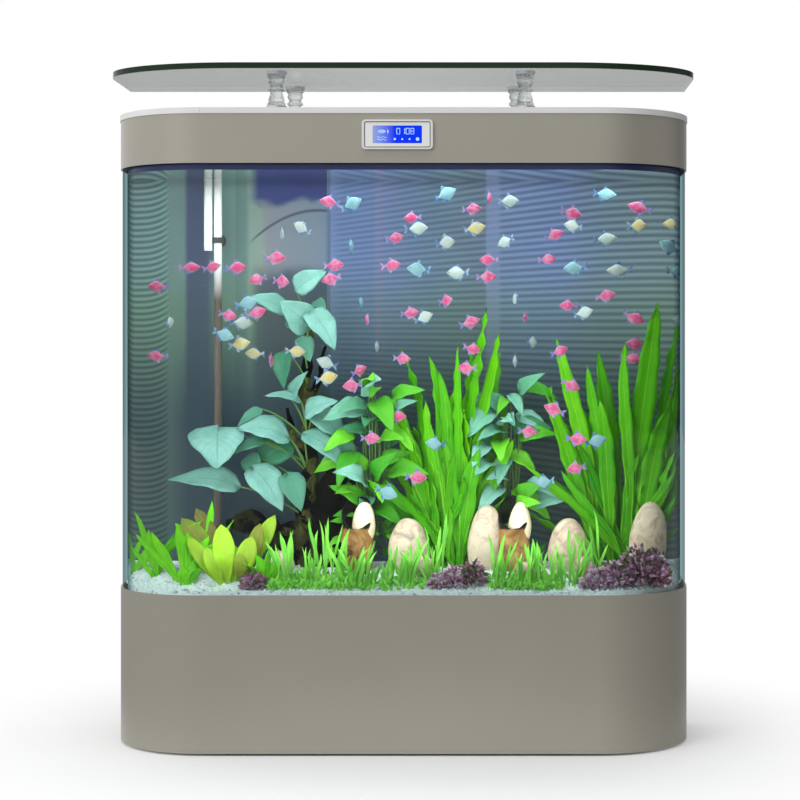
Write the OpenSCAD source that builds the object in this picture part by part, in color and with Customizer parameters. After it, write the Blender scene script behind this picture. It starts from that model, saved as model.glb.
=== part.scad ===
// Aquarium on a cabinet stand, with a lift-off hood and a lift-off glass top
// on four crystal columns. Millimetres. X is to the right, the front faces -Y,
// +Z is up. The origin is on the floor under the middle of the object.

/* [Body] */
// Width of the cabinet, tank and hood
body_w = 1200; // [1000:10:1500]
// Depth of the cabinet, tank and hood
body_d = 350; // [320:5:420]
// Radius of the two large front corners in plan
corner_r = 195; // [150:5:230]

/* [Cabinet] */
// Height of the cabinet, to the top of its rim
base_h = 325; // [300:5:420]
// Thickness of the rubber foot pads
foot_h = 4; // [2:1:8]
// Wall thickness of the cabinet
cabinet_wall = 12; // [9:1:18]
// Height of the rim that stands up around the tank
rim_h = 20; // [10:1:30]
// Wall thickness of that rim
rim_wall = 3; // [2:0.5:4]
// How far the back doors' openings lie inside the back frame
rail_h = 30; // [24:1:50]

/* [Tank] */
// Height of the glass that shows between the cabinet and the hood
glass_visible_h = 877; // [700:1:1000]
// Thickness of the tank's glass
glass_t = 10; // [8:1:15]
// Distance from the cabinet's face to the glass's face
glass_inset = 3.5; // [3.5:0.1:5]
// Height of the gravel's surface above the cabinet's rim
gravel_show = 40; // [20:1:60]

/* [Hood] */
// Height of the painted band
hood_h = 101; // [90:1:130]
// Wall thickness of the hood
hood_wall = 8; // [6:1:10]
// Thickness of the white deck on the hood
deck_t = 12; // [12:1:18]
// How far the deck stands out past the painted band
deck_proud = 1.5; // [0:0.5:4]

/* [Glass top] */
// Clear height between the deck and the glass top
top_gap = 77; // [75:1:110]
// Thickness of the glass top
top_t = 12; // [10:1:15]
// Width of the glass top
top_w = 1222; // [1210:1:1240]
// Depth of the glass top
top_d = 360; // [350:1:380]
// Half-axes of the elliptical front corners, across and back
top_corner_x = 280; // [200:5:320]
top_corner_y = 172; // [150:1:180]

/* [Columns] */
// Distance from the middle to the front columns
front_column_x = 254; // [200:1:260]
// Distance from the middle to the rear columns
rear_column_x = 240; // [200:1:250]
// Radius of the discs at the columns' ends
disc_r = 21; // [19:0.5:24]
// Thickness of those discs
disc_t = 6; // [4:1:8]

/* [Control panel] */
// Width of the panel's frame
panel_w = 144; // [120:1:180]
// Height of the panel's frame
panel_h = 60; // [50:1:70]
// How far the frame stands out from the hood
panel_proud = 6; // [3:0.5:8]

/* [Pipes] */
// Outer radius of the pump's riser pipe
riser_r = 8.5; // [8:0.5:9]
// Outer radius of the return pipe
return_r = 9; // [8:0.5:9]
// Length of the return pipe below the hood
return_drop = 166; // [80:1:200]

/* [Hidden] */
$fn = 96;
// A cut reaches this far past the solid that it cuts.
cut = 1;

// Plan of the body: the glass top overhangs the front, the body ends at the back.
top_overhang = 15;
body_front = top_overhang - (body_d + top_overhang) / 2;
body_back = body_front + body_d;
corner_x = body_w / 2 - corner_r;
corner_y = body_front + corner_r;

// Levels, from the floor up.
shelf_z = base_h - rim_h;
floor_t = 15;
board_t = 18;
mat_t = 3;
bottom_z = shelf_z + mat_t;
gravel_floor = bottom_z + glass_t;
gravel_z = base_h + gravel_show;
hood_z = base_h + glass_visible_h;
deck_z = hood_z + hood_h;
deck_top = deck_z + deck_t;
top_z = deck_top + top_gap;
disc_top_z = top_z - disc_t;

// Inner faces of the tank.
glass_in = glass_inset + glass_t;
back_glass_y = body_back - glass_in;
fill_gap = 0.5;

// Cabinet's back, doors and pins.
frame_y = body_back - cabinet_wall;
frame_w = body_w - 2 * cabinet_wall;
frame_top = shelf_z - board_t;
stile = 28;
door_gap = 2;
opening_out = frame_w / 2 - stile;
door_low = foot_h + rail_h + door_gap;
door_high = frame_top - rail_h - door_gap;
door_edge_r = cabinet_wall / 2;
hinge_x = opening_out - door_edge_r - door_gap;
hinge_y = body_back - cabinet_wall / 2;
pin_r = 3;
pin_reach = 8;
pin_grip = 14;
running_gap = 0.05;

// Hood: the ledge rests on the glass's edge and the lip reaches into the tank.
ledge_in = 18;
ledge_t = 4;
lip_out = glass_in + 0.7;
lip_h = 12;

// Feeding lids and their pins.
lid_w = 220;
lid_d = 66;
lid_t = 6;
lid_x = 380;
lid_hinge_y = 60;
lid_gap = 0.5;
lid_seat = 7;
lid_pin_r = 2;
lid_axis_z = deck_top - lid_t / 2;

// Column places.
front_column_y = body_front + 35;
rear_column_y = 100;

// Pipes, pump and filter tray.
pipe_y = 135;
riser_x = -401;
return_x = -422;
pump_w = 60;
pump_d = 52;
pump_h = 70;
tray_z = hood_z + 23;
tray_wall = 4;
tray_x = [-470, -110];
tray_y = [88, 162];
riser_top = tray_z + 30;

// Control panel.
panel_x = -5;
panel_z = hood_z + 57.5;
panel_corner = 8;
bezel_w = 132;
bezel_h = 50;
screen_w = 100;
screen_h = 36;
screen_t = 2;
module_w = 124;
module_h = 42;
module_d = 26;

// Lamp.
lamp_w = 860;
lamp_y = -70;
lamp_d = 50;
lamp_h = 25;
lamp_drop = 6;

// Plants, each as x, y, height, radius at the foot and radius at the crown.
anubias_left = [-330, 50, 625, 25, 92];
anubias_middle = [-55, 92, 400, 18, 52];
anubias_right = [228, 100, 395, 18, 56];
sword_middle = [95, 20, 550, 18, 90];
sword_right = [440, 40, 560, 20, 112];
tuft = [-485, -30, 100, 48, 58];
red_leaf = [-350, -75, 82, 20, 45];

// Places of the two clay pots.
pot_left_place = [-93, -40];
pot_right_place = [231, -40];

// ---- shared shapes ----

// The body's plan, drawn in by inset at the front and sides and by back_inset
// at the back: straight sides, a flat back and two large front corners.
module plan(inset, back_inset) {
    side = body_w / 2 - inset;
    front = body_front + inset;
    translate([-side, corner_y])
        square([2 * side, body_back - back_inset - corner_y]);
    translate([-corner_x, front])
        square([2 * corner_x, corner_y - front + cut]);
    for (s = [-1, 1])
        intersection() {
            translate([s * corner_x, corner_y]) circle(r = corner_r - inset);
            translate([s > 0 ? corner_x - cut : -side - cut, front - cut])
                square([corner_r + 2 * cut, corner_y - front + 2 * cut]);
        }
}

// A slab of that plan between two heights.
module slab(inset, back_inset, low, high) {
    translate([0, 0, low])
        linear_extrude(high - low) plan(inset, back_inset);
}

// A box from its low corner to its high corner.
module block(low, high) {
    translate(low) cube(high - low);
}

// A rounded rectangle in the XZ plane, from front face y0 back to y1.
module face_plate(w, h, r, y0, y1) {
    translate([panel_x, y1, panel_z])
        rotate([90, 0, 0])
        linear_extrude(y1 - y0) {
            square([w - 2 * r, h], center = true);
            square([w, h - 2 * r], center = true);
            for (sx = [-1, 1], sz = [-1, 1])
                translate([sx * (w / 2 - r), sz * (h / 2 - r)]) circle(r = r);
        }
}

// ---- cabinet ----

module cabinet_shell() {
    color([0.57, 0.56, 0.52]) difference() {
        slab(0, 0, foot_h, base_h);
        slab(cabinet_wall, -cut, foot_h - cut, shelf_z);
        slab(rim_wall, -cut, shelf_z - cut, base_h + cut);
    }
}

module cabinet_back_frame() {
    color([0.35, 0.35, 0.34]) difference() {
        block([-frame_w / 2, frame_y, foot_h], [frame_w / 2, body_back, frame_top]);
        for (s = [-1, 1]) {
            block([min(s * stile / 2, s * opening_out), frame_y - cut, foot_h + rail_h],
                  [max(s * stile / 2, s * opening_out), body_back + cut, frame_top - rail_h]);
            translate([s * hinge_x, hinge_y, door_low - pin_reach - cut])
                cylinder(h = door_high - door_low + 2 * (pin_reach + cut), r = pin_r + running_gap);
        }
    }
}

module cabinet_floor() {
    color([0.45, 0.44, 0.42])
        slab(cabinet_wall, cabinet_wall, foot_h, foot_h + floor_t);
}

module cabinet_top_board() {
    color([0.45, 0.44, 0.42])
        slab(cabinet_wall, 0, frame_top, shelf_z);
}

module center_upright() {
    color([0.45, 0.44, 0.42])
        block([-board_t / 2, body_front + cabinet_wall, foot_h + floor_t],
              [board_t / 2, frame_y, frame_top]);
}

module foot_pads() {
    pad_r = 22;
    side_x = body_w / 2 - 60;
    color([0.12, 0.12, 0.12])
        for (place = [[0, body_front + 40], [corner_x, body_front + 40], [side_x, body_back - 40],
                      [0, body_back - 40], [-corner_x, body_front + 40], [-side_x, body_back - 40]])
            translate(place) cylinder(h = foot_h, r = pad_r);
}

// A back door with its hinged edge rounded about the pins; side is -1 or 1.
module rear_door(side) {
    color([0.42, 0.42, 0.41]) difference() {
        union() {
            block([min(side * hinge_x, side * (stile / 2 + door_gap)), frame_y, door_low],
                  [max(side * hinge_x, side * (stile / 2 + door_gap)), body_back, door_high]);
            translate([side * hinge_x, hinge_y, door_low])
                cylinder(h = door_high - door_low, r = door_edge_r);
        }
        for (z = [door_low - cut, door_high - pin_grip])
            translate([side * hinge_x, hinge_y, z]) cylinder(h = pin_grip + cut, r = pin_r);
    }
}

module door_pins(side) {
    color("silver")
        for (z = [door_low - pin_reach, door_high - pin_grip])
            translate([side * hinge_x, hinge_y, z]) cylinder(h = pin_reach + pin_grip - cut, r = pin_r);
}

module door_catches() {
    catch_z = (door_low + door_high) / 2;
    color([0.2, 0.2, 0.2])
        for (s = [-1, 1])
            block([min(s * board_t / 2, s * (board_t / 2 + 16)), frame_y - 20, catch_z - 12],
                  [max(s * board_t / 2, s * (board_t / 2 + 16)), frame_y - 0.5, catch_z + 12]);
}

// ---- tank ----

module tank_mat() {
    color([0.15, 0.15, 0.15])
        slab(rim_wall + 1, rim_wall, shelf_z, bottom_z);
}

module tank_bottom_glass() {
    color([0.7, 0.85, 0.8, 0.5])
        slab(glass_in + fill_gap, glass_in + fill_gap, bottom_z, gravel_floor);
}

module tank_bent_glass() {
    color([0.7, 0.85, 0.85, 0.35]) difference() {
        slab(glass_inset, glass_in, bottom_z, hood_z);
        slab(glass_in, glass_in - cut, bottom_z - cut, hood_z + cut);
    }
}

module tank_back_glass() {
    side = body_w / 2 - glass_inset;
    color([0.6, 0.75, 0.8, 0.4])
        block([-side, back_glass_y, bottom_z], [side, back_glass_y + glass_t, hood_z]);
}

// Beads of silicone in the two back corners of the tank.
module silicone_seams() {
    bead = 6;
    side = body_w / 2 - glass_in;
    color([0.1, 0.1, 0.1])
        for (s = [-1, 1])
            translate([s * side, back_glass_y, gravel_z])
                linear_extrude(hood_z - lip_h - gravel_z - cut)
                polygon([[0, 0], [-s * bead, 0], [0, -bead]]);
}

module background_film() {
    film_t = 1.2;
    side = body_w / 2 - glass_in;
    film_y = back_glass_y + glass_t;
    color([0.25, 0.33, 0.55])
        block([-side, film_y, base_h + cut], [side, film_y + film_t, hood_z - cut]);
}

// ---- contents ----

module gravel_bed() {
    color([0.85, 0.9, 0.9])
        slab(glass_in + fill_gap, glass_in + fill_gap, gravel_floor, gravel_z);
}

module driftwood() {
    color([0.22, 0.17, 0.12]) {
        translate([-205, 60, gravel_z]) cylinder(h = 560, r1 = 24, r2 = 8);
        translate([-162, 50, gravel_z]) cylinder(h = 190, r1 = 38, r2 = 14);
        translate([-122, 40, gravel_z]) cylinder(h = 110, r1 = 24, r2 = 10);
    }
}

// A clay pot that stands on the gravel.
module clay_pot(place) {
    pot_r = 26;
    pot_wall = 6;
    pot_h = 92;
    color([0.55, 0.38, 0.22])
        translate([place.x, place.y, gravel_z])
        difference() {
            cylinder(h = pot_h, r = pot_r);
            translate([0, 0, pot_wall]) cylinder(h = pot_h, r = pot_r - pot_wall);
        }
}

// Cobbles that stand on end: each place gives x, y, height and radius.
module egg_stones() {
    color([0.9, 0.87, 0.76])
        for (place = [[13, -48, 110, 43], [166, -40, 140, 35], [344, -45, 110, 43], [496, -35, 140, 35]])
            translate([place[0], place[1], gravel_z]) {
                cylinder(h = place[2] - place[3], r = place[3]);
                translate([0, 0, place[2] - place[3]]) sphere(r = place[3]);
            }
}

// The space that a plant fills: narrow at the gravel and wide at its leaves.
module plant(size) {
    color([0.3, 0.55, 0.25])
        translate([size[0], size[1], gravel_z]) cylinder(h = size[2], r1 = size[3], r2 = size[4]);
}

module grass_front() {
    color([0.4, 0.6, 0.25])
        block([-110, -138, gravel_z], [45, -103, gravel_z + 60]);
}

module moss_clumps() {
    clump_r = 28;
    color([0.5, 0.35, 0.5])
        for (place = [[95, -112], [412, -108], [480, -102]])
            translate([place.x, place.y, gravel_z]) cylinder(h = 42, r = clump_r);
}

// ---- pump and pipes ----

module pump() {
    foot = [riser_x - pump_w / 2, pipe_y - pump_d / 2, gravel_z];
    color([0.15, 0.15, 0.16]) {
        block(foot, foot + [pump_w, pump_d, pump_h]);
        translate([riser_x, pipe_y, gravel_z + pump_h]) cylinder(h = 10, r = riser_r + 2);
    }
}

module tube(x, r, low, high) {
    wall = 1.5;
    color([0.85, 0.87, 0.85]) difference() {
        translate([x, pipe_y, low]) cylinder(h = high - low, r = r);
        translate([x, pipe_y, low - cut]) cylinder(h = high - low + 2 * cut, r = r - wall);
    }
}

// A suction cup on the back glass and the ring that holds the riser pipe.
module pipe_clips() {
    ring_h = 12;
    cup_r = 14;
    color([0.25, 0.25, 0.25])
        for (z = [hood_z - 150, gravel_z + 250])
            translate([riser_x, pipe_y, z]) difference() {
                union() {
                    cylinder(h = ring_h, r = riser_r + 3);
                    translate([-3, 0, 0]) cube([6, back_glass_y - pipe_y - 4, ring_h]);
                    translate([0, back_glass_y - pipe_y, ring_h / 2])
                        rotate([90, 0, 0]) cylinder(h = 6, r1 = cup_r, r2 = cup_r - 6);
                }
                translate([0, 0, -cut]) cylinder(h = ring_h + 2 * cut, r = riser_r + 0.1);
            }
}

// ---- hood ----

module hood_shell() {
    notch = [430, 490];
    color([0.57, 0.56, 0.51]) difference() {
        union() {
            difference() {
                slab(0, 0, hood_z, deck_z);
                slab(hood_wall, hood_wall, hood_z - cut, deck_z + cut);
            }
            difference() {
                slab(cut, cut, hood_z, hood_z + ledge_t);
                slab(ledge_in, ledge_in, hood_z - cut, hood_z + ledge_t + cut);
            }
            difference() {
                slab(lip_out, lip_out, hood_z - lip_h, hood_z + cut);
                slab(ledge_in, ledge_in, hood_z - lip_h - cut, hood_z + 2 * cut);
            }
        }
        block([notch[0], body_back - hood_wall - cut, hood_z + 13], [notch[1], body_back + cut, hood_z + 43]);
        block([panel_x - module_w / 2 - cut, body_front - cut, panel_z - module_h / 2 - cut],
              [panel_x + module_w / 2 + cut, body_front + hood_wall + cut, panel_z + module_h / 2 + cut]);
    }
}

// The seat, the hole and the pin sockets that a feeding lid needs in the deck.
module lid_pocket(side) {
    half = lid_w / 2;
    hole_in = 8;
    front = lid_hinge_y - lid_d;
    translate([side * lid_x, 0, 0]) {
        block([-half - lid_gap, front - lid_gap, deck_top - lid_seat],
              [half + lid_gap, lid_hinge_y + lid_t / 2 + lid_gap, deck_top + cut]);
        block([-half + hole_in, front + hole_in, deck_z - cut],
              [half - hole_in, lid_hinge_y - hole_in, deck_top]);
        translate([-half - 4, lid_hinge_y, lid_axis_z])
            rotate([0, 90, 0]) cylinder(h = lid_w + 8, r = lid_pin_r + running_gap);
    }
}

module hood_deck() {
    color([0.85, 0.85, 0.84]) difference() {
        slab(-deck_proud, 0, deck_z, deck_top);
        for (side = [-1, 1]) lid_pocket(side);
    }
}

module feeding_lid(side) {
    color([0.8, 0.8, 0.8])
        translate([side * lid_x, 0, 0])
        difference() {
            union() {
                block([-lid_w / 2, lid_hinge_y - lid_d, deck_top - lid_t],
                      [lid_w / 2, lid_hinge_y, deck_top]);
                translate([-lid_w / 2, lid_hinge_y, lid_axis_z])
                    rotate([0, 90, 0]) cylinder(h = lid_w, r = lid_t / 2);
            }
            translate([-lid_w / 2 - cut, lid_hinge_y, lid_axis_z])
                rotate([0, 90, 0]) cylinder(h = lid_w + 2 * cut, r = lid_pin_r);
        }
}

module lid_pin(side) {
    reach = 3.5;
    color("silver")
        translate([side * lid_x - lid_w / 2 - reach, lid_hinge_y, lid_axis_z])
        rotate([0, 90, 0]) cylinder(h = lid_w + 2 * reach, r = lid_pin_r);
}

module filter_tray() {
    low = [tray_x[0], tray_y[0], tray_z];
    high = [tray_x[1], tray_y[1], deck_z];
    wall = [tray_wall, tray_wall, tray_wall];
    color([0.2, 0.2, 0.22]) difference() {
        block(low, high);
        block(low + wall, [high.x - tray_wall, high.y - tray_wall, deck_z + cut]);
        translate([riser_x, pipe_y, tray_z - cut]) cylinder(h = tray_wall + 2 * cut, r = riser_r + 1);
        translate([return_x, pipe_y, tray_z - cut]) cylinder(h = tray_wall + 2 * cut, r = return_r);
    }
}

module filter_sponge() {
    color([0.15, 0.2, 0.3])
        block([-350, tray_y[0] + tray_wall + cut, tray_z + tray_wall],
              [tray_x[1] - tray_wall - cut, tray_y[1] - tray_wall - cut, tray_z + tray_wall + 45]);
}

module lamp_housing() {
    color([0.75, 0.75, 0.77])
        block([-lamp_w / 2, lamp_y - lamp_d / 2, deck_z - lamp_drop - lamp_h],
              [lamp_w / 2, lamp_y + lamp_d / 2, deck_z - lamp_drop]);
}

module lamp_diffuser() {
    color([0.95, 0.97, 1])
        block([-lamp_w / 2 + 10, lamp_y - lamp_d / 2 + 6, deck_z - lamp_drop - lamp_h - 4],
              [lamp_w / 2 - 10, lamp_y + lamp_d / 2 - 6, deck_z - lamp_drop - lamp_h]);
}

module lamp_brackets() {
    color([0.5, 0.5, 0.52])
        for (s = [-1, 1])
            translate([s * lamp_w / 3, lamp_y, deck_z - lamp_drop / 2])
                cube([30, lamp_d, lamp_drop], center = true);
}

// ---- control panel ----

module control_housing() {
    front = body_front - panel_proud;
    color([0.6, 0.6, 0.62]) {
        difference() {
            face_plate(panel_w, panel_h, panel_corner, front, body_front);
            face_plate(bezel_w, bezel_h, panel_corner - 4, front - cut, front + panel_proud - 2);
        }
        block([panel_x - module_w / 2, body_front - cut, panel_z - module_h / 2],
              [panel_x + module_w / 2, body_front + module_d, panel_z + module_h / 2]);
    }
}

module control_bezel() {
    front = body_front - panel_proud + cut;
    back = body_front - 2;
    color([0.93, 0.94, 0.95]) difference() {
        face_plate(bezel_w, bezel_h, panel_corner - 4, front, back);
        face_plate(screen_w, screen_h, 2, front - cut, back + cut);
    }
}

module lcd_screen() {
    back = body_front - 2;
    color([0.1, 0.35, 0.9])
        face_plate(screen_w, screen_h, 2, back - screen_t, back);
}

// ---- columns and glass top ----

// One turned column between its discs: a foot, a waist, a ring, a bulb and a head.
module column(x, y) {
    foot_t = 5;
    ring_t = 5;
    shaft_h = disc_top_z - (deck_top + disc_t);
    half_h = (shaft_h - 2 * foot_t - ring_t) / 2;
    color([0.75, 0.8, 0.82, 0.7])
        translate([x, y, deck_top + disc_t]) {
            cylinder(h = foot_t, r = 19);
            translate([0, 0, foot_t]) cylinder(h = half_h, r1 = 17, r2 = 12);
            translate([0, 0, foot_t + half_h]) cylinder(h = ring_t, r = 17.5);
            translate([0, 0, foot_t + half_h + ring_t]) cylinder(h = half_h, r1 = 13, r2 = 17);
            translate([0, 0, shaft_h - foot_t]) cylinder(h = foot_t, r = 19);
        }
}

// The four places of the columns.
function column_places() = [
    [-front_column_x, front_column_y], [front_column_x, front_column_y],
    [-rear_column_x, rear_column_y], [rear_column_x, rear_column_y]
];

module discs(z) {
    color([0.7, 0.72, 0.74])
        for (place = column_places())
            translate([place.x, place.y, z]) cylinder(h = disc_t, r = disc_r);
}

module glass_top() {
    front = -(body_d + top_overhang) / 2;
    center_x = top_w / 2 - top_corner_x;
    center_y = front + top_corner_y;
    color([0.45, 0.6, 0.5, 0.6])
        translate([0, 0, top_z])
        linear_extrude(top_t) {
            translate([-top_w / 2, center_y]) square([top_w, top_d - top_corner_y]);
            translate([-center_x, front]) square([2 * center_x, top_corner_y + cut]);
            for (s = [-1, 1])
                translate([s * center_x, center_y])
                    scale([top_corner_x / top_corner_y, 1]) circle(r = top_corner_y);
        }
}

cabinet_shell();
cabinet_back_frame();
cabinet_floor();
cabinet_top_board();
center_upright();
foot_pads();
rear_door(-1);  // rear_door_left
rear_door(1);  // rear_door_right
door_pins(-1);  // door_pins_left
door_pins(1);  // door_pins_right
door_catches();
tank_mat();
tank_bottom_glass();
tank_bent_glass();
tank_back_glass();
silicone_seams();
background_film();
gravel_bed();
driftwood();
clay_pot(pot_left_place);  // clay_pot_left
clay_pot(pot_right_place);  // clay_pot_right
egg_stones();
plant(anubias_left);
plant(anubias_middle);
plant(anubias_right);
plant(sword_middle);  // sword_plant_middle
plant(sword_right);  // sword_plant_right
grass_front();
plant(tuft);  // tuft_left
plant(red_leaf);  // red_leaf_plant
moss_clumps();
pump();
tube(riser_x, riser_r, gravel_z + pump_h + 10, riser_top);  // riser_pipe
pipe_clips();
hood_shell();
hood_deck();
filter_tray();
filter_sponge();
tube(return_x, return_r, hood_z - return_drop, tray_z + 10);  // return_pipe
lamp_housing();
lamp_diffuser();
lamp_brackets();
control_housing();
control_bezel();
lcd_screen();
discs(deck_top);  // column_bases
column(-front_column_x, front_column_y);  // column_front_left
column(front_column_x, front_column_y);  // column_front_right
column(-rear_column_x, rear_column_y);  // column_rear_left
column(rear_column_x, rear_column_y);  // column_rear_right
feeding_lid(-1);  // feeding_lid_left
feeding_lid(1);  // feeding_lid_right
lid_pin(-1);  // lid_pin_left
lid_pin(1);  // lid_pin_right
glass_top();
discs(disc_top_z);  // glass_top_discs
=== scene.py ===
"""Looks of an aquarium on its stand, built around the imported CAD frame. Metres, +Z up, front to -Y."""
import math
import random

import bpy
from mathutils import Matrix, Vector, noise


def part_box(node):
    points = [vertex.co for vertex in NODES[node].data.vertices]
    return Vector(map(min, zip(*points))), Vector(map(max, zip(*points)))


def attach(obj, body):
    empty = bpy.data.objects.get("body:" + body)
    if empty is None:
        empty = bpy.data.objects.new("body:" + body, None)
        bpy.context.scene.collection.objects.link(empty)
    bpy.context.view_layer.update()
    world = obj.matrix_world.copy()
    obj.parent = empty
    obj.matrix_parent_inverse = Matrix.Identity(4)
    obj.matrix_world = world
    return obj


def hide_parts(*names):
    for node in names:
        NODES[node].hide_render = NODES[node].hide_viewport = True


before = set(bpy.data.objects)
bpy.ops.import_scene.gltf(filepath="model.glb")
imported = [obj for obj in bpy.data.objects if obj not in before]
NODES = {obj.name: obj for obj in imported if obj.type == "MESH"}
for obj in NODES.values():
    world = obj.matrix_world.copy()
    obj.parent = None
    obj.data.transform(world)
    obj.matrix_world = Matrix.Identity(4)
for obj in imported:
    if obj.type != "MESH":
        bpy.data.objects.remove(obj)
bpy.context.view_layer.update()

# ---------------------------------------------------------------- places

BACK_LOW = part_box("tank_back_glass")[0]
BED_LOW, BED_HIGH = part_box("gravel_bed")
HOOD_LOW, HOOD_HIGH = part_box("hood_shell")
SCREEN_LOW, SCREEN_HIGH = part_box("lcd_screen")
SCREEN_X = (SCREEN_LOW.x + SCREEN_HIGH.x) / 2
SCREEN_Z = (SCREEN_LOW.z + SCREEN_HIGH.z) / 2
# A gap between faces that would otherwise coincide, and the depth of the hood's lip below its lacquer.
HAIR = 0.0005
LIP_DEPTH = 0.012
SUBSTRATE_Z = BED_HIGH.z
WATER_Z = HOOD_LOW.z - HAIR
# The big front corners of the body's plan.
CORNER_R = 0.195
CORNER_X = HOOD_HIGH.x - CORNER_R
FRONT_Y = -0.1675
CORNER_Y = FRONT_Y + CORNER_R
# How far water and gravel stay in from that plan, and limits that keep leaves inside the glass.
WATER_INSET = 0.0139
GRAVEL_INSET = 0.0146
NEAREST_Y = -0.148
RIGHTMOST_X = 0.572
LEFTMOST_X = -0.575
# The bodies that most pieces ride on.
TANK, HOOD = "tank_and_stand", "hood"

# The studio's brightness from left to right, how much dimmer mirrors see it, and the floor's fade to
# white between two distances.
DOME_TONES = ((0.0, 0.80), (0.2, 0.86), (0.50, 0.78), (0.66, 0.55), (0.78, 0.26), (0.9, 0.14), (1.0, 0.5))
MIRROR_DIMMING = 0.8
FLOOR_SIZE = 24
FLOOR_FADE = (0.35, 1.15)
FLOOR_GLOW = 0.32
# The faint light of the printed film, as if it were lit from behind.
FILM_GLOW = 0.26


# ---------------------------------------------------------------- camera, light and floor

def make_camera():
    """The camera looks level along +Y from right of the middle, so the framing is done by shift."""
    data = bpy.data.cameras.new("camera")
    data.lens = 85.5
    data.sensor_width = 36.0
    data.shift_x = -0.117
    data.shift_y = -0.0675
    data.clip_end = 50.0
    camera = bpy.data.objects.new("camera", data)
    camera.location = (0.190, FRONT_Y - 3.851, 0.831)
    camera.rotation_euler = (math.radians(90), 0, 0)
    bpy.context.scene.collection.objects.link(camera)
    bpy.context.scene.camera = camera


def area_light(name, place, aim, size, power, color=(1, 1, 1), hidden=False):
    """A rectangular lamp at place that shines towards aim; a hidden one isn't mirrored or seen in glass."""
    data = bpy.data.lights.new(name, "AREA")
    data.shape = "RECTANGLE"
    data.size, data.size_y = size
    data.energy = power
    data.color = color
    lamp = bpy.data.objects.new(name, data)
    lamp.location = place
    lamp.rotation_euler = (Vector(aim) - Vector(place)).to_track_quat("-Z", "Y").to_euler()
    lamp.visible_camera = False
    if hidden:
        lamp.visible_glossy = False
        lamp.visible_transmission = False
    bpy.context.scene.collection.objects.link(lamp)
    return lamp


def make_world():
    """A pale studio dome: darker to the right, plain white to the camera, dim in mirror reflections."""
    world = bpy.data.worlds.new("studio")
    world.use_nodes = True
    net = Nodes(world.node_tree)
    path = net.node("LightPath")
    side = net.split(net.node("TexCoord").outputs["Generated"])["X"]
    dome = net.node("Background")
    tones = [(at, (v, v, v * 1.01)) for at, v in DOME_TONES]
    net.link(net.ramp(net.math("MULTIPLY_ADD", side, 0.5, 0.5), tones), dome.inputs[0])
    dim = net.math("MULTIPLY_ADD", path.outputs["Is Singular Ray"], -MIRROR_DIMMING, 1.0)
    net.link(dim, dome.inputs[1])
    white = net.node("Background")
    white.inputs[0].default_value = (1, 1, 1, 1)
    net.link(net.mix(path.outputs["Is Camera Ray"], dome, white), net.node("OutputWorld").inputs[0])
    bpy.context.scene.world = world


def make_studio():
    make_world()
    key = area_light("key", (-2.6, -3.2, 2.6), (0, 0, 0.8), (1.8, 2.4), 63)
    key.visible_glossy = False
    area_light("top", (0.2, -0.4, 3.6), (0, 0, 1.0), (2.4, 1.6), 40)
    floor = Build()
    floor.grid(lambda u, v: Vector((FLOOR_SIZE * (u - 0.5), FLOOR_SIZE * (v - 0.5), -HAIR)), 2, 2)
    floor = floor.piece("floor", None, [floor_material()])


def make_tank_lamps():
    """Two hidden lamps inside the water, since light from outside hardly gets through its face."""
    under_hood, behind_glass, mid_z = WATER_Z - 0.02, NEAREST_Y, 0.74
    area_light("lamp_in_water", (0, -0.03, under_hood), (0, 0.01, 0.4), (1.05, 0.18), 3.2,
               (0.90, 0.96, 1.0), True)
    area_light("fill_in_water", (0, behind_glass, mid_z), (0, 0.2, mid_z), (0.84, 0.70), 3.0,
               (1, 1, 1), True)


# ---------------------------------------------------------------- node helpers

class Nodes:
    """A node tree, with short calls that add nodes and link them."""

    def __init__(self, tree):
        self.t = tree
        tree.nodes.clear()

    def node(self, kind):
        return self.t.nodes.new("ShaderNode" + kind)

    def link(self, a, b):
        self.t.links.new(a, b)

    def feed(self, value, socket):
        """Puts a number, a colour or another node's output into a socket."""
        if isinstance(value, (int, float)):
            socket.default_value = value
        elif isinstance(value, tuple):
            socket.default_value = (*value, 1)
        else:
            self.link(value, socket)

    def split(self, vector):
        """The X, Y and Z outputs of a vector."""
        n = self.node("SeparateXYZ")
        self.link(vector, n.inputs[0])
        return n.outputs

    def math(self, kind, *values):
        n = self.node("Math")
        n.operation = kind
        for i, value in enumerate(values):
            self.feed(value, n.inputs[i])
        return n.outputs[0]

    def span(self, value, start, end, low=0.0, high=1.0, smooth=False):
        """A value that runs from low to high while the given one runs from start to end."""
        n = self.node("MapRange")
        n.interpolation_type = "SMOOTHSTEP" if smooth else "LINEAR"
        for key, number in (("From Min", start), ("From Max", end), ("To Min", low), ("To Max", high)):
            n.inputs[key].default_value = number
        self.link(value, n.inputs["Value"])
        return n.outputs[0]

    def ramp(self, fac, stops):
        """A colour ramp with these (place, colour) stops."""
        n = self.node("ValToRGB")
        elements = n.color_ramp.elements
        elements.remove(elements[-1])
        elements[0].position, elements[0].color = stops[0][0], (*stops[0][1], 1)
        for place, color in stops[1:]:
            elements.new(place).color = (*color, 1)
        self.link(fac, n.inputs[0])
        return n.outputs[0]

    def mix(self, fac, a, b):
        """A mix of the shader nodes a and b."""
        n = self.node("MixShader")
        self.link(fac, n.inputs[0])
        self.link(a.outputs[0], n.inputs[1])
        self.link(b.outputs[0], n.inputs[2])
        return n.outputs[0]


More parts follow.
